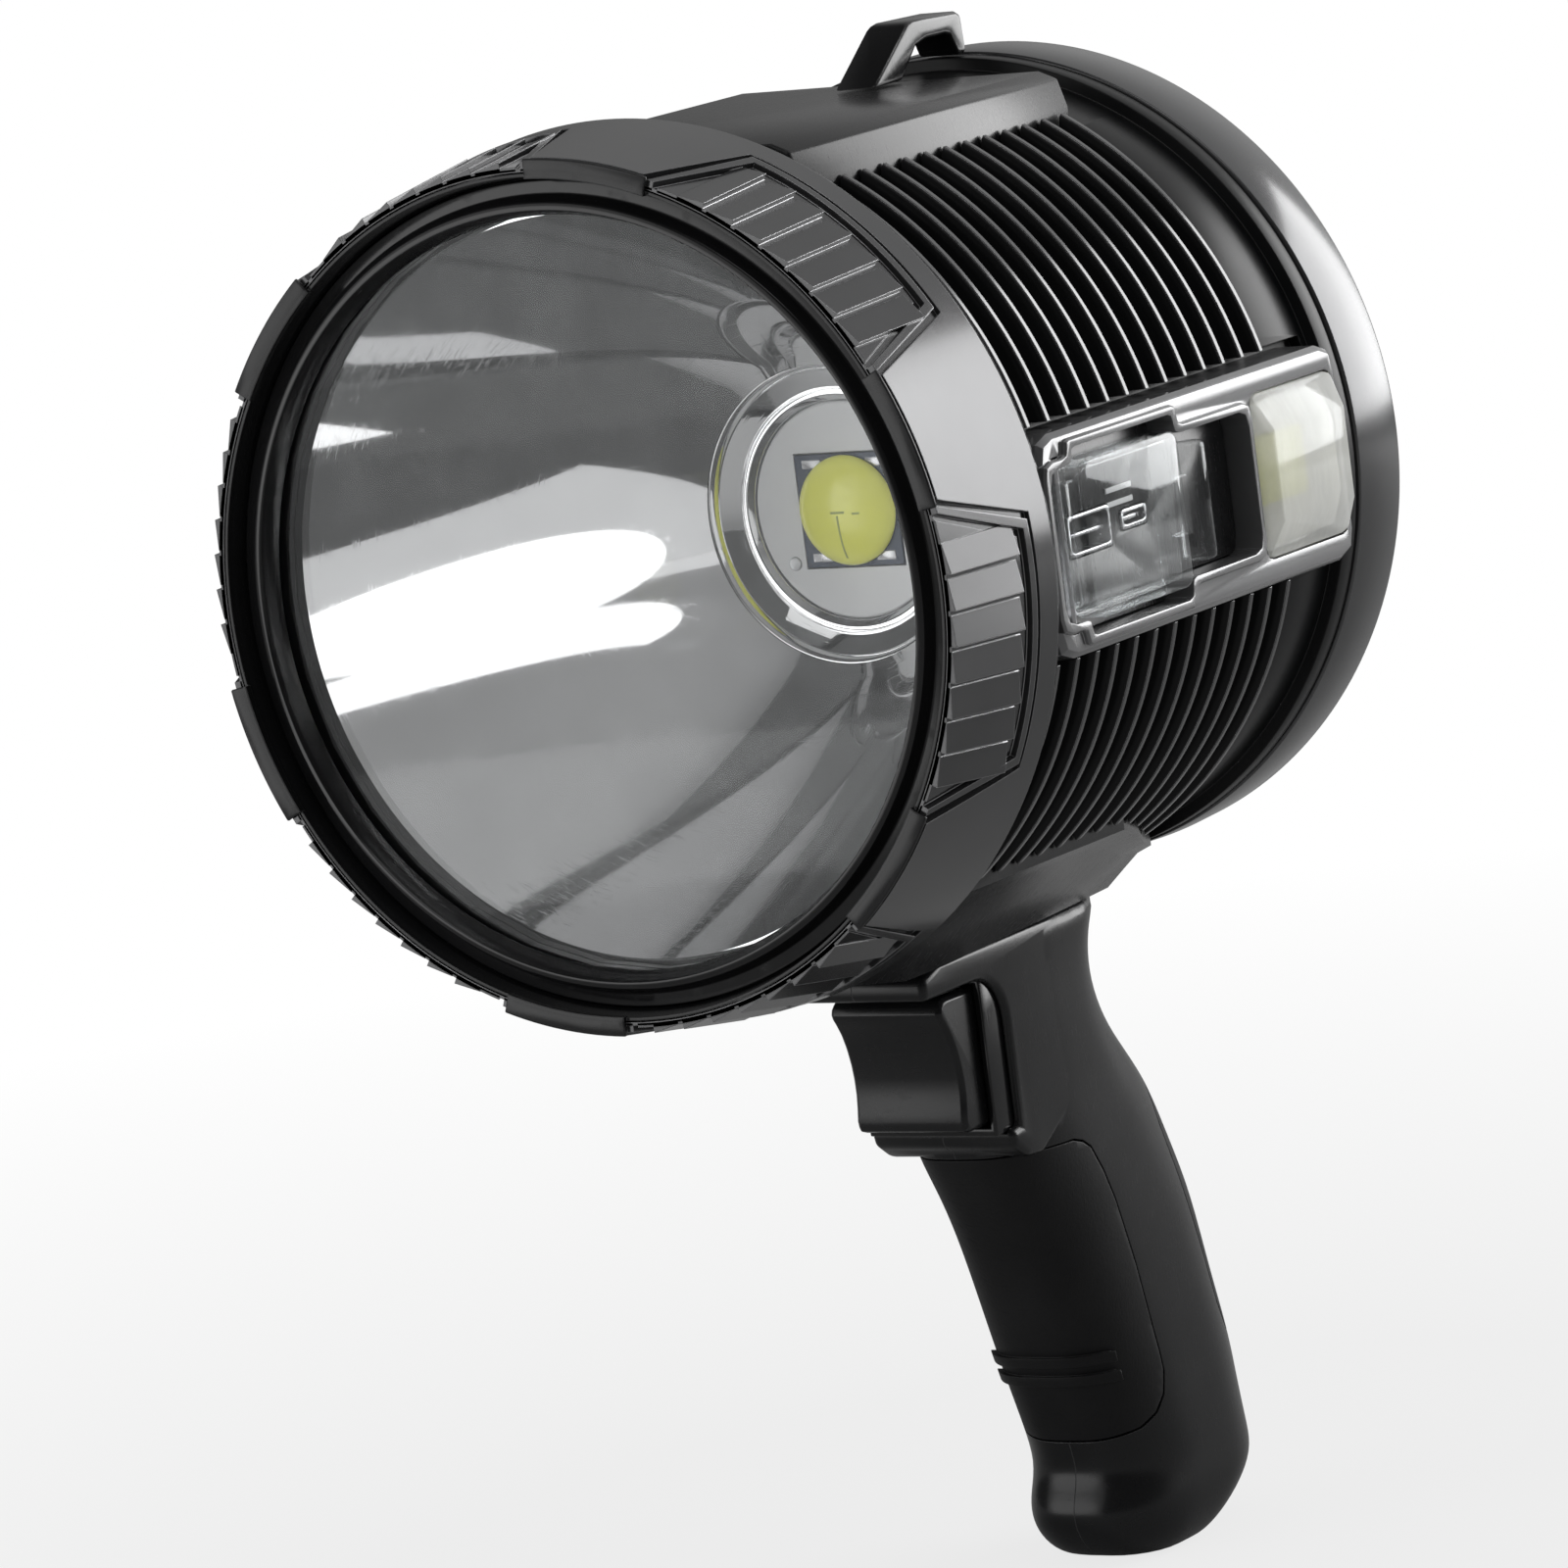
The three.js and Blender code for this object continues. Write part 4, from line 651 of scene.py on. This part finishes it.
# How far in and how far back, as shares of the collar's width and depth
collar_shares = [(0, 0.06), (0.08, 0), (0.2, 0), (0.27, 0.12), (0.31, 0.3), (0.38, 0.34),
                 (0.7, 0.66), (0.76, 0.58), (0.88, 0.58), (0.94, 0.7), (1, 0.76)]
section = [(collar_outer - a * collar_width, collar_front + b * collar_depth)
           for a, b in collar_shares]
section += [(collar_outer - collar_width, collar_rear), (collar_outer, collar_rear)]
done(soften(turned("stepped_collar", section, 160), 0.2), "reflector_collar")

# %% [markdown]
# The emitter is a square board with solder pads, and on it a soft yellow-green dome. The dome is a
# sphere pressed flat, cut off at the board. The thin lines that show through it are slices of a
# slightly larger copy.

# %% Emitter plate and dome
plate_front, plate_rear = stations_of("emitter_plate")
plate_radius, plate_chamfer = widths_of("emitter_plate")[1], 0.3
board_half = widths_of("emitter_board")[1] + 0.3
plate = turned("emitter_disc", [
    (0, plate_front), (plate_radius - plate_chamfer, plate_front),
    (plate_radius, plate_front + plate_chamfer), (plate_radius, plate_rear), (0, plate_rear)], 128)
combine(plate, box_piece("slot", (-board_half, board_half), (80, 92), (-board_half, board_half)))
done(plate, "emitter_plate")
dome_top, dome_base = stations_of("emitter_dome")
dome_radius, dome_rise = widths_of("emitter_dome")[1], dome_base - dome_top
leave_all()
bpy.ops.mesh.primitive_uv_sphere_add(segments=64, ring_count=32, radius=dome_radius * mm,
                                     location=(0, 0, 0), rotation=(quarter, 0, 0))
dome = bpy.context.object
dome.name = "dome"
bpy.ops.object.transform_apply(location=True, rotation=True, scale=True)
edit_all(dome)
bpy.ops.transform.resize(value=(1, dome_rise / dome_radius, 1), center_override=(0, 0, 0))
bpy.ops.transform.translate(value=place(0, dome_base, 0))
bpy.ops.object.mode_set(mode="OBJECT")
slice_off(dome, place(0, dome_base, 0), (0, 1, 0))

# %% Lines on the dome
seam = copy_piece(dome, "dome_seam")
edit_all(seam)
bpy.ops.transform.resize(value=(1.006, 1.012, 1.006), center_override=place(0, dome_base, 0))
bpy.ops.object.mode_set(mode="OBJECT")
dome_depth = (80, 86.2)
lines = [box_piece("down_line", (-0.17, 0.17), dome_depth, (-8.2, -0.4)),
         box_piece("cross_line", (-1.3, 1.5), dome_depth, (-0.05, 0.35)),
         box_piece("short_line", (3.0, 4.4), dome_depth, (-0.3, 0.05))]
combine(seam, join(lines), "INTERSECT")
done(seam, slot="phosphor", finish="phosphor_seam")
done(dome, "emitter_dome", angle=60)

# %% Solder pads and rivets
pads = []
for x, height in ((-6.6, 8.3), (6.6, 8.3), (-6.6, -8.3), (6.6, -8.3)):
    pads.append(box_piece("pad", (x - 2, x + 2), (86.5, 86.7), (height - 0.8, height + 0.8)))
done(soften(join(pads), 0.08), slot="steel").name = "solder_pads"
rivets = [peg("rivet", 1.25, 0.8, place(x, 86.9, height), "y")
          for x, height in ((-12.6, -9.2), (12.6, 9.2))]
done(soften(join(rivets), 0.15), slot="cast_aluminium").name = "plate_rivets"

# %% [markdown]
# # Barrel
# The barrel is a turned tube with thirteen cooling fins. Rail, side panel and saddle lie on its
# root, so the fins are a turned comb of their own, which three cutters open where those pieces sit.
# Their crests are ground bright: a thin ring lies on each.

# %% Core and fins
sleeve_front, barrel_rear = stations_of("barrel_housing")
crest_radius, flange_radius = -widths_of("barrel_housing")[0], widths_of("barrel_housing")[1]
root_radius, first_fin, pitch, fin_count = 68.8, 35.5, 6.56, 13
sleeve_radius, sleeve_rear = 71.2, 26.3
seat_radius, seat_rear, barrel_bore = 68.6, 13, 65.8
root_front, root_rear, flange_edge = 28.4, 133.57, 0.4
core = turned("core", [
    (seat_radius, sleeve_front), (sleeve_radius, sleeve_front), (sleeve_radius, sleeve_rear),
    (root_radius, root_front), (root_radius, root_rear), (flange_radius, root_rear),
    (flange_radius, barrel_rear - flange_edge), (flange_radius - flange_edge, barrel_rear),
    (barrel_bore, barrel_rear), (barrel_bore, seat_rear), (seat_radius, seat_rear)])
soften(core, 0.3)
middles = [first_fin + i * pitch for i in range(fin_count)]
# Radius and half thickness of a fin, from its foot to its crest
fin_side = [(68.4, 2.45), (72.3, 1.4), (72.95, 1.18), (73.35, 0.85), (crest_radius, 0.45)]
comb_foot, comb_rear, shoulder_radius, shoulder_front = 67.6, 134.0, 71.0, 118.07
comb = [(comb_foot, first_fin - 2.6)]
for middle in middles:
    comb += [(radius, middle - half) for radius, half in fin_side]
    comb += [(radius, middle + half) for radius, half in reversed(fin_side)]
comb += [(fin_side[0][0], shoulder_front), (shoulder_radius, shoulder_front),
         (shoulder_radius, comb_rear), (comb_foot, comb_rear)]
fins = turned("barrel_fins", comb)
soften(fins, 0.35)
print("fins:", fin_count, "from station", first_fin, "to", round(middles[-1], 1))

# %% Bright crests
crest_side = [(crest_radius - 0.3, 0.64), (crest_radius, 0.64), (crest_radius + 0.1, 0.44)]
crests = []
for middle in middles:
    section = [(radius, middle - half) for radius, half in crest_side]
    section += [(radius, middle + half) for radius, half in reversed(crest_side)]
    crests.append(turned("crest", section))
crests = join(crests)
print("crests:", len(crests.data.polygons), "faces")

# %% Openings for rail, panel and saddle
saddle_gap = 0.6
rail_half, rail_end = widths_of("top_rail")[1] + 0.6, stations_of("top_rail")[1] + 2.3
panel_half, panel_end = heights_of("side_panel")[1] + 1.2, stations_of("side_panel")[1] + 0.6
# Station and half width of the saddle, from its front to its rear
saddle_plan = [(29.7, 45), (69.0, 45), (91.0, 45), (103.4, 40.5), (116.4, 33.3), (132.7, 24.75),
               (141, 22)]
zone = [place(x + saddle_gap, s, 0) for s, x in saddle_plan]
zone += [place(-x - saddle_gap, s, 0) for s, x in reversed(saddle_plan)]
for comb_piece in (fins, crests):
    rail_zone = box_piece("rail_zone", (-rail_half, rail_half), (0, rail_end), (0, 150))
    combine(comb_piece, rail_zone)
    panel_zone = box_piece("panel_zone", (0, 150), (0, panel_end), (-panel_half, panel_half))
    combine(comb_piece, panel_zone)
    combine(comb_piece, pressed("saddle_zone", zone, (0, 0, -150 * mm)))
done(crests, slot="satin_grey", angle=20).name = "fin_crests"
barrel = join([core, fins])
barrel.name = "barrel_shell"
done(barrel, "barrel_housing", angle=28, finish="fin_black")

# %% Rail, loop and saddle
done(soften(copy_of("top_rail", "rail"), 0.5), "top_rail")
done(soften(copy_of("strap_loop", "carry_loop"), 0.7, 3), "strap_loop")
done(soften(copy_of("saddle", "saddle_form"), 0.8, 3, 20), "saddle", angle=40)

# %% [markdown]
# # Side panel
# The panel carries the charging ports under a clear lid and a small work light. Panel, tray and
# window are the solids themselves with their edges broken, because their shapes are already right.
# The lid is pressed anew as a thin shell, with round bars for its hinge and its pull.

# %% Rounded plates and bars
def rounded_plate(name, x, station, half, radius, steps=8):
    corners = ((station[1] - radius, half - radius), (station[0] + radius, half - radius),
               (station[0] + radius, radius - half), (station[1] - radius, radius - half))
    points = []
    for corner, (along, up) in enumerate(corners):
        for i in range(steps + 1):
            angle = quarter * (corner + i / steps)
            points.append(place(x[0], along + radius * math.cos(angle),
                                up + radius * math.sin(angle)))
    return pressed(name, points, ((x[1] - x[0]) * mm, 0, 0))


def round_bar(name, station, half, radius, edge):
    bar = peg(name, radius, 2 * half, place(bar_x, station, 0), "z", 48)
    return soften(bar, edge, 3, 50)


# %% Side panel and port tray
# The panel's lightened satin is a painted highlight
done(soften(copy_of("side_panel", "panel"), 0.45, 3, 28), "side_panel", finish="panel_satin_painted_sheen")
done(soften(copy_of("port_tray", "tray"), 0.25), "port_tray")

# %% Clear lid
bar_x = sum(widths_of("port_cover_pin")) / 2
hinge_station = sum(stations_of("port_cover_pin")) / 2
pull_radius = 3.0
pull_station = stations_of("port_cover")[1] - pull_radius
lid = rounded_plate("lid", x=(71.9, 77.5), station=(39.7, 71.7), half=13.5, radius=2.6)
soften(lid, 0.7, 3)
room = rounded_plate("lid_room", x=(68, 76.0), station=(41.2, 70.2), half=12.0, radius=1.4)
combine(lid, room)
for web in (((73.7, 75.5), (hinge_station, 40.4), (-10.5, 10.5)),
            ((73.7, 75.5), (71.0, pull_station), (-5.1, 5.1))):
    combine(lid, box_piece("web", *web), "UNION")
combine(lid, round_bar("knuckle", hinge_station, 10.5, 2.4, 0.3), "UNION")
combine(lid, round_bar("pull_bar", pull_station, 10.2, pull_radius, 0.9), "UNION")
combine(lid, round_bar("pin_bore", hinge_station, 15, 1.3, 0.1))
done(lid, "port_cover", angle=35)

# %% Work light and sockets
done(soften(copy_of("side_light_lens", "light_window"), 0.4, 2), "side_light_lens",
     finish="milky_plastic")
done(soften(copy_of("side_light_emitter", "light_strip"), 0.2), "side_light_emitter")
done(soften(copy_of("side_light_board", "light_board"), 0.2), "side_light_board",
     finish="white_enamel")
for node in ("power_socket", "charge_socket"):
    done(soften(copy_of(node, node + "_shell"), 0.12), node)

# %% Marks moulded on the port tray
mark_station, mark_half, mark_thick = 60.5, 4.2, 0.45
marks = []
for height in (5.6, 3.2):
    marks.append(box_piece("mark", (71.0, 71.35),
                           (mark_station - mark_half, mark_station + mark_half),
                           (height - mark_thick, height + mark_thick)))
done(join(marks), slot="pale_enamel").name = "port_marks"

# %% [markdown]
# # Back
# The ring at the back and the cover in it are turned. The rear faces away from the beam and is
# plain, and the cover is held by four screws in wells.

# %% Rear ring
ring_front, ring_rear = stations_of("rear_ring")
ring_radius, ring_middle, ring_bore, ring_edge = 73.6, 146.1, 66.2, 1.0
web_front, web_rear, web_bore = 144.37, 147.37, 56.2
ring = turned("rear_hoop", [
    (ring_radius, ring_front), (widths_of("rear_ring")[1], ring_middle),
    (ring_radius, ring_rear - ring_edge), (ring_radius - ring_edge, ring_rear),
    (ring_bore + ring_edge, ring_rear), (ring_bore, ring_rear - ring_edge), (ring_bore, web_rear),
    (web_bore, web_rear), (web_bore, web_front), (ring_bore, web_front), (ring_bore, ring_front)])
done(soften(ring, 0.4, 3), "rear_ring")

# %% Rear cover
cover_front, cover_rear = stations_of("rear_cover")
cover_radius = widths_of("rear_cover")[1]
groove_floor, well_circle, well_radius = 152.2, 59.8, 3.1
disc = turned("rear_plate", [
    (0, cover_front), (cover_radius, cover_front), (cover_radius, cover_rear - 1),
    (cover_radius - 1, cover_rear), (52.4, cover_rear), (51.6, groove_floor),
    (50.8, groove_floor), (50.0, cover_rear), (0, cover_rear)], 192)
wells = [peg("well", well_radius, 3, round_place(well_circle, 151.5, 45 + 90 * i), "y")
         for i in range(4)]
combine(disc, join(wells))
done(soften(disc, 0.15), "rear_cover")

# %% [markdown]
# A screw is a bevelled cylinder with a cross pressed into it. It is modelled once for each place,
# along the axis that it is driven on.

# %% Screws
head_radius, head_height, cross_width, cross_deep, cross_long = 2.75, 1.7, 0.62, 2.2, 3.4


def screw(name, node, head, axis):
    obj = peg(name, head_radius, head_height, head, axis)
    soften(obj, 0.35, 3)
    for spin in (0.4, 0.4 + quarter):
        leave_all()
        bpy.ops.mesh.primitive_cube_add(size=mm, location=head)
        slot = bpy.context.object
        if axis == "y":
            slot.scale = (cross_width, cross_deep, cross_long)
            slot.rotation_euler = (0, spin, 0)
        else:
            slot.scale = (cross_deep, cross_width, cross_long)
            slot.rotation_euler = (spin, 0, 0)
        bpy.ops.object.transform_apply(location=True, rotation=True, scale=True)
        combine(obj, slot)
    return done(obj, node)


for i in range(4):
    low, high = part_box(f"rear_screw_{i + 1}")
    centre = (low + high) / 2
    head = (centre.x, high.y - head_height / 2 * mm, centre.z)
    screw(f"cover_screw_{i + 1}", f"rear_screw_{i + 1}", head, "y")
    low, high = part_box(f"grip_screw_{i + 1}")
    centre = (low + high) / 2
    head = (low.x + head_height / 2 * mm, centre.y, centre.z)
    screw(f"shell_screw_{i + 1}", f"grip_screw_{i + 1}", head, "x")

# %% [markdown]
# # Grip
# The grip leans back, swells under the palm and ends in a rounded foot. A square with rounded
# corners is extruded down it, and each new ring is widened and shifted to the measured outline. A
# subdivision surface then smooths the steps between the rings.

# %% Grip form
grip_foot, grip_top = heights_of("grip_left")
grip_height, grip_depth, grip_half = grip_top - grip_foot, 52.0, 16.0
lean, grip_station = 0.315, 111.41
# Down, front, rear and half width, as shares of the grip's height, depth and half width
grip_rows = [
    (-0.02, -0.30, 0.54, 0.97), (0.03, -0.329, 0.417, 0.96), (0.067, -0.356, 0.348, 0.95),
    (0.12, -0.385, 0.294, 0.95), (0.186, -0.444, 0.315, 0.95), (0.243, -0.521, 0.398, 0.95),
    (0.296, -0.594, 0.471, 0.96), (0.349, -0.579, 0.496, 0.97), (0.407, -0.531, 0.508, 0.98),
    (0.493, -0.494, 0.527, 1), (0.619, -0.485, 0.494, 1), (0.718, -0.475, 0.488, 1),
    (0.791, -0.454, 0.446, 1), (0.857, -0.448, 0.417, 1), (0.898, -0.537, 0.406, 1.02),
    (0.93, -0.573, 0.31, 1.01), (0.963, -0.56, 0.16, 0.94), (0.99, -0.51, 0.01, 0.8),
    (1, -0.45, -0.08, 0.62)]


# %% Rings of the grip
def on_grip(down, run, x=0.0):
    station = grip_station + lean * down * grip_height + run * grip_depth
    return place(x, station, grip_top - down * grip_height)


def grip_form(name, proud=0.0):
    leave_all()
    bpy.ops.mesh.primitive_plane_add(size=2 * mm, location=(0, 0, 0))
    obj = bpy.context.object
    obj.name = name
    bpy.ops.object.mode_set(mode="EDIT")
    bpy.ops.mesh.bevel(offset=0.78 * mm, segments=6, profile=0.5, affect="VERTICES")
    bpy.ops.mesh.select_all(action="SELECT")
    centre, size = Vector((0, 0, 0)), (1.0, 1.0)
    for level, (down, ahead, behind, width) in enumerate(grip_rows):
        target = on_grip(down, (ahead + behind) / 2)
        wanted = (width * grip_half + proud, (behind - ahead) / 2 * grip_depth + proud)
        if level:
            bpy.ops.mesh.extrude_region_move(TRANSFORM_OT_translate={"value": target - centre})
        else:
            bpy.ops.transform.translate(value=target - centre)
        bpy.ops.transform.resize(value=(wanted[0] / size[0], wanted[1] / size[1], 1),
                                 center_override=target)
        centre, size = target, wanted
    close_up(obj)
    return apply_modifier(obj, "SUBSURF", levels=2, render_levels=2)


def grip_zone(name, rows):
    return pressed(name, [on_grip(down, run, -30) for down, run in rows], (60 * mm, 0, 0))


whole = grip_form("grip_whole")
print("grip:", len(whole.data.vertices), "points")

# %% [markdown]
# The neck runs from the saddle round the trigger into the grip. It is pressed from its side outline,
# with an arch that shows the trigger and its guide, and joined to the grip; the pocket for the guide
# and the room of the switch behind it are cut out.

# %% Neck
guide_gap = 0.3
guide_foot, guide_top = heights_of("trigger_guide")
neck_half, neck_front = 15.0, 67.5
arch_radius, arch_rear, arch_top, arch_foot = 8.5, 93.4, guide_top + guide_gap, -112.4


def arch_point(angle):
    turn = math.radians(angle)
    return (arch_rear - arch_radius + arch_radius * math.cos(turn),
            arch_top - arch_radius + arch_radius * math.sin(turn))


# Station and height: under the saddle, down the rear, then up through the arch
neck_outline = [(73.7, grip_top), (112, grip_top), (116, -110), (100, -119), (95, -118.5),
                (90.6, -115.5), (90.2, arch_foot), (arch_rear, arch_foot)]
neck_outline += [arch_point(11.25 * i) for i in range(9)]
neck_outline += [(neck_front, arch_top), (neck_front, -80.4)]
neck = pressed("neck", [place(-neck_half, s, h) for s, h in neck_outline],
               (2 * neck_half * mm, 0, 0))
combine(whole, soften(neck, 1.4, 4, 24), "UNION")
guide_half = widths_of("trigger_guide")[1] + guide_gap
guide_rear = stations_of("trigger_guide")[1] + guide_gap
guide_pocket = box_piece("guide_pocket", (-guide_half, guide_half), (60, guide_rear),
                         (guide_foot - guide_gap, arch_top))
combine(whole, guide_pocket)
switch_gap = 0.6
switch_half = widths_of("trigger_switch")[1] + switch_gap
switch_foot, switch_top = heights_of("trigger_switch")
switch_room = box_piece("switch_room", (-switch_half, switch_half), (97, 109),
                        (switch_foot - switch_gap, switch_top + switch_gap))
combine(whole, switch_room)
print("grip with its neck:", len(whole.data.vertices), "points")

# %% [markdown]
# The soft insert and the rear strip are parts of the same form, kept inside their outlines, so they
# lie flush with the shells. Two ridges stand on the insert.

# %% Outlines of the soft pieces
# Down and along, as shares of the grip's height and depth
insert_rows = [
    (0.3301, -0.95), (0.3301, -0.27), (0.337, -0.225), (0.35, -0.19), (0.39, -0.163),
    (0.439, -0.15), (0.546, -0.152), (0.644, -0.167), (0.69, -0.172), (0.72, -0.18),
    (0.755, -0.215), (0.78, -0.27), (0.797, -0.34), (0.81, -0.464), (0.815, -0.95)]
strip_rows = [
    (0.24, 1), (0.24, 0.57), (0.28, 0.39), (0.32, 0.335), (0.372, 0.311), (0.477, 0.31),
    (0.591, 0.313), (0.664, 0.307), (0.69, 0.318), (0.709, 0.337), (0.723, 0.38),
    (0.732, 0.446), (0.745, 1)]
print("outline points:", len(insert_rows), "and", len(strip_rows))


def drawn_in(rows, across, along):
    middle = sum(down for down, run in rows) / len(rows)
    return [(down + across * (1 if down < middle else -1), run + along * (abs(run) < 0.9))
            for down, run in rows]


# %% Insert and strip
insert_form = copy_piece(whole, "insert_form")
strip_form = copy_piece(whole, "strip_form")
for rows in (insert_rows, strip_rows):
    combine(whole, grip_zone("zone", rows))
proud = grip_form("proud_form", 0.9)
ridges = []
for down in (0.665, 0.696):
    foot = down + 0.017
    ridges.append(grip_zone("ridge", [(down, -1), (down, -0.37), (foot, -0.37), (foot, -1)]))
combine(proud, join(ridges), "INTERSECT")
combine(insert_form, grip_zone("zone", drawn_in(insert_rows, 0.003, -0.007)), "INTERSECT")
insert = join([soften(insert_form, 0.35, 2, 50), soften(proud, 0.25, 2, 50)])
insert.name = "front_insert"
done(insert, "grip_insert", angle=40)
combine(strip_form, grip_zone("zone", drawn_in(strip_rows, 0.003, 0.007)), "INTERSECT")
strip_form.name = "back_strip"
done(soften(strip_form, 0.35, 2, 50), "rear_strip", angle=40)

# %% Left and right shells
for side, node in ((1, "grip_right"), (-1, "grip_left")):
    half = copy_piece(whole, node + "_shell")
    other_side = sorted((0.01 * side, -40 * side))
    combine(half, box_piece("other_side", other_side, (40, 200), (-220, -60)))
    if side < 0:
        wells = []
        for i in range(4):
            low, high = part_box(f"grip_screw_{i + 1}")
            centre = (low + high) / 2
            wells.append(peg("well", well_radius, 12, (low.x - 5 * mm, centre.y, centre.z), "x"))
        combine(half, join(wells))
    done(half, node, angle=40)
bpy.data.objects.remove(whole)

# %% Trigger and guide
done(soften(copy_of("trigger", "trigger_key"), 0.9, 3, 24), "trigger", angle=40)
done(soften(copy_of("trigger_guide", "guide"), 0.3), "trigger_guide")

# %% [markdown]
# Pieces that lie inside, and plain ones such as pins, keep their solids and get the real finish.

# %% Finish the solids that stay
for name, obj in nodes.items():
    obj.data.materials.clear()
    obj.data.materials.append(finishes[slot_of[name]])
print("finished solids:", len(nodes))

# %% [markdown]
# # Studio
# The camera stands where the photograph was taken, with a long lens. The bench and the backdrop are
# pale. Seen by the camera they are plain white, and the bench keeps a soft shadow.

# %% Camera
camera = bpy.data.objects.new("camera", bpy.data.cameras.new("camera"))
bpy.context.scene.collection.objects.link(camera)
# Its right, top and back and its place, fitted to the round rims in the photograph
right = Vector((0.83654, 0.53256, -0.12879))
top = Vector((0.02423, 0.19887, 0.97973))
back = Vector((0.54738, -0.8227, 0.15346))
camera_place = Matrix.Translation((0.9178, -1.4625, 0.4152))
camera.matrix_world = camera_place @ Matrix((right, top, back)).transposed().to_4x4()
camera.data.lens = 222.33
camera.data.sensor_width = 36
camera.data.clip_end = 50
bpy.context.scene.camera = camera
print("camera:", [round(value, 3) for value in camera.matrix_world.translation])

# %% Bench
leave_all()
bpy.ops.mesh.primitive_plane_add(size=12, location=(0, 0, 0))
bench = bpy.context.object
bench.name = "bench"
pale = new_finish("bench_top")
paper = pale.node("ShaderNodeBsdfDiffuse", {}, {"Color": (0.4, 0.4, 0.4, 1)})
glow = pale.node("ShaderNodeEmission", {}, {"Color": (1, 1, 1, 1), "Strength": 1.0})
rays = pale.node("ShaderNodeLightPath", output="Is Camera Ray")
away = pale.node("ShaderNodeVectorMath", {"operation": "LENGTH"}, {0: spot(pale)}, "Value")
share = pale.node("ShaderNodeMapRange", {"clamp": True}, {
    "Value": away, "From Min": 0.15, "From Max": 0.7, "To Min": 0.78, "To Max": 1.0})
pale.show(pale.node("ShaderNodeMixShader", {}, {0: rays * share, 1: paper, 2: glow}))
bench.data.materials.append(finishes["bench_top"])
print("bench:", bench.dimensions.x, "m wide")

# %% [markdown]
# The world does three things. The camera sees it plain white. Rays that leave a mirror or a clear
# piece see a dark room that grows white behind the lamp, so that black plastic stays black. All
# other rays see an even grey, which fills the shadows.

# %% World
world = bpy.data.worlds.new("studio")
bpy.context.scene.world = world
studio = Finish(world, "ShaderNodeOutputWorld")
direction = studio.node("ShaderNodeTexCoord", output="Generated")
facing = studio.node("ShaderNodeVectorMath", {"operation": "DOT_PRODUCT"},
                     {0: direction, 1: (0.34, 0.9, 0.27)}, "Value")
backdrop = studio.node("ShaderNodeMapRange", {"clamp": True}, {
    "Value": facing, "From Min": 0.5, "From Max": 0.98, "To Min": 0.06, "To Max": 1.0})
glossy = studio.node("ShaderNodeLightPath", output="Is Glossy Ray")
through = studio.node("ShaderNodeLightPath", output="Is Transmission Ray")
mirrored = studio.node("ShaderNodeMath", {"operation": "MAXIMUM"}, {0: glossy, 1: through})
soft = studio.node("ShaderNodeMix", {"data_type": "FLOAT"}, {0: mirrored, 2: 0.45, 3: backdrop})
seen = studio.node("ShaderNodeLightPath", output="Is Camera Ray")
level = studio.node("ShaderNodeMix", {"data_type": "FLOAT"}, {0: seen, 2: soft, 3: 1.0})
studio.show(studio.node("ShaderNodeBackground", {}, {"Color": (1, 1, 1, 1), "Strength": level}))
print("world nodes:", len(world.node_tree.nodes))

# %% [markdown]
# Black plastic shows its shape by what it mirrors. Seen from the camera, the barrel's right flank
# mirrors a place behind the lamp on its right: a softbox there draws the bright band down bezel,
# panel and rear ring. The bowl mirrors the left front twice over: two rounded white ones there fill
# its lower left, with a dimmer, wider one behind them. One above opens the rail.

# %% Lights
lamp_middle = Vector((0, -0.06, 0.2))


def softbox(name, toward, distance, size, level, aim=lamp_middle, shape="RECTANGLE"):
    light = bpy.data.lights.new(name, "AREA")
    light.shape, light.size, light.size_y = shape, size[0], size[1]
    area = size[0] * size[1] * (1 if shape == "RECTANGLE" else math.pi / 4)
    light.energy = level * math.pi * area
    obj = bpy.data.objects.new(name, light)
    bpy.context.scene.collection.objects.link(obj)
    obj.location = lamp_middle + Vector(toward).normalized() * distance
    obj.rotation_euler = (Vector(aim) - obj.location).to_track_quat("-Z", "Y").to_euler()
    obj.visible_camera = False
    print(name, "level", level)


softbox("flank_box", (0.54, 0.775, 0.22), 1.5, (0.95, 0.9), 6.8)
softbox("bowl_box", (-0.58, -0.81, 0.06), 0.95, (0.7, 0.56), 1.5, shape="ELLIPSE")
softbox("bowl_card", (-0.58, -0.81, -0.27), 0.71, (0.68, 0.6), 1.5, (-0.36, -0.55, 1.0), "ELLIPSE")
softbox("bowl_wings", (-0.57, -0.81, 0.28), 1.9, (2.2, 1.5), 0.7)
softbox("top_box", (0.3, -0.25, 1.0), 1.4, (0.8, 0.8), 1.5)

# %% Colour view
bpy.context.scene.view_settings.view_transform = "Standard"
bpy.context.view_layer.update()
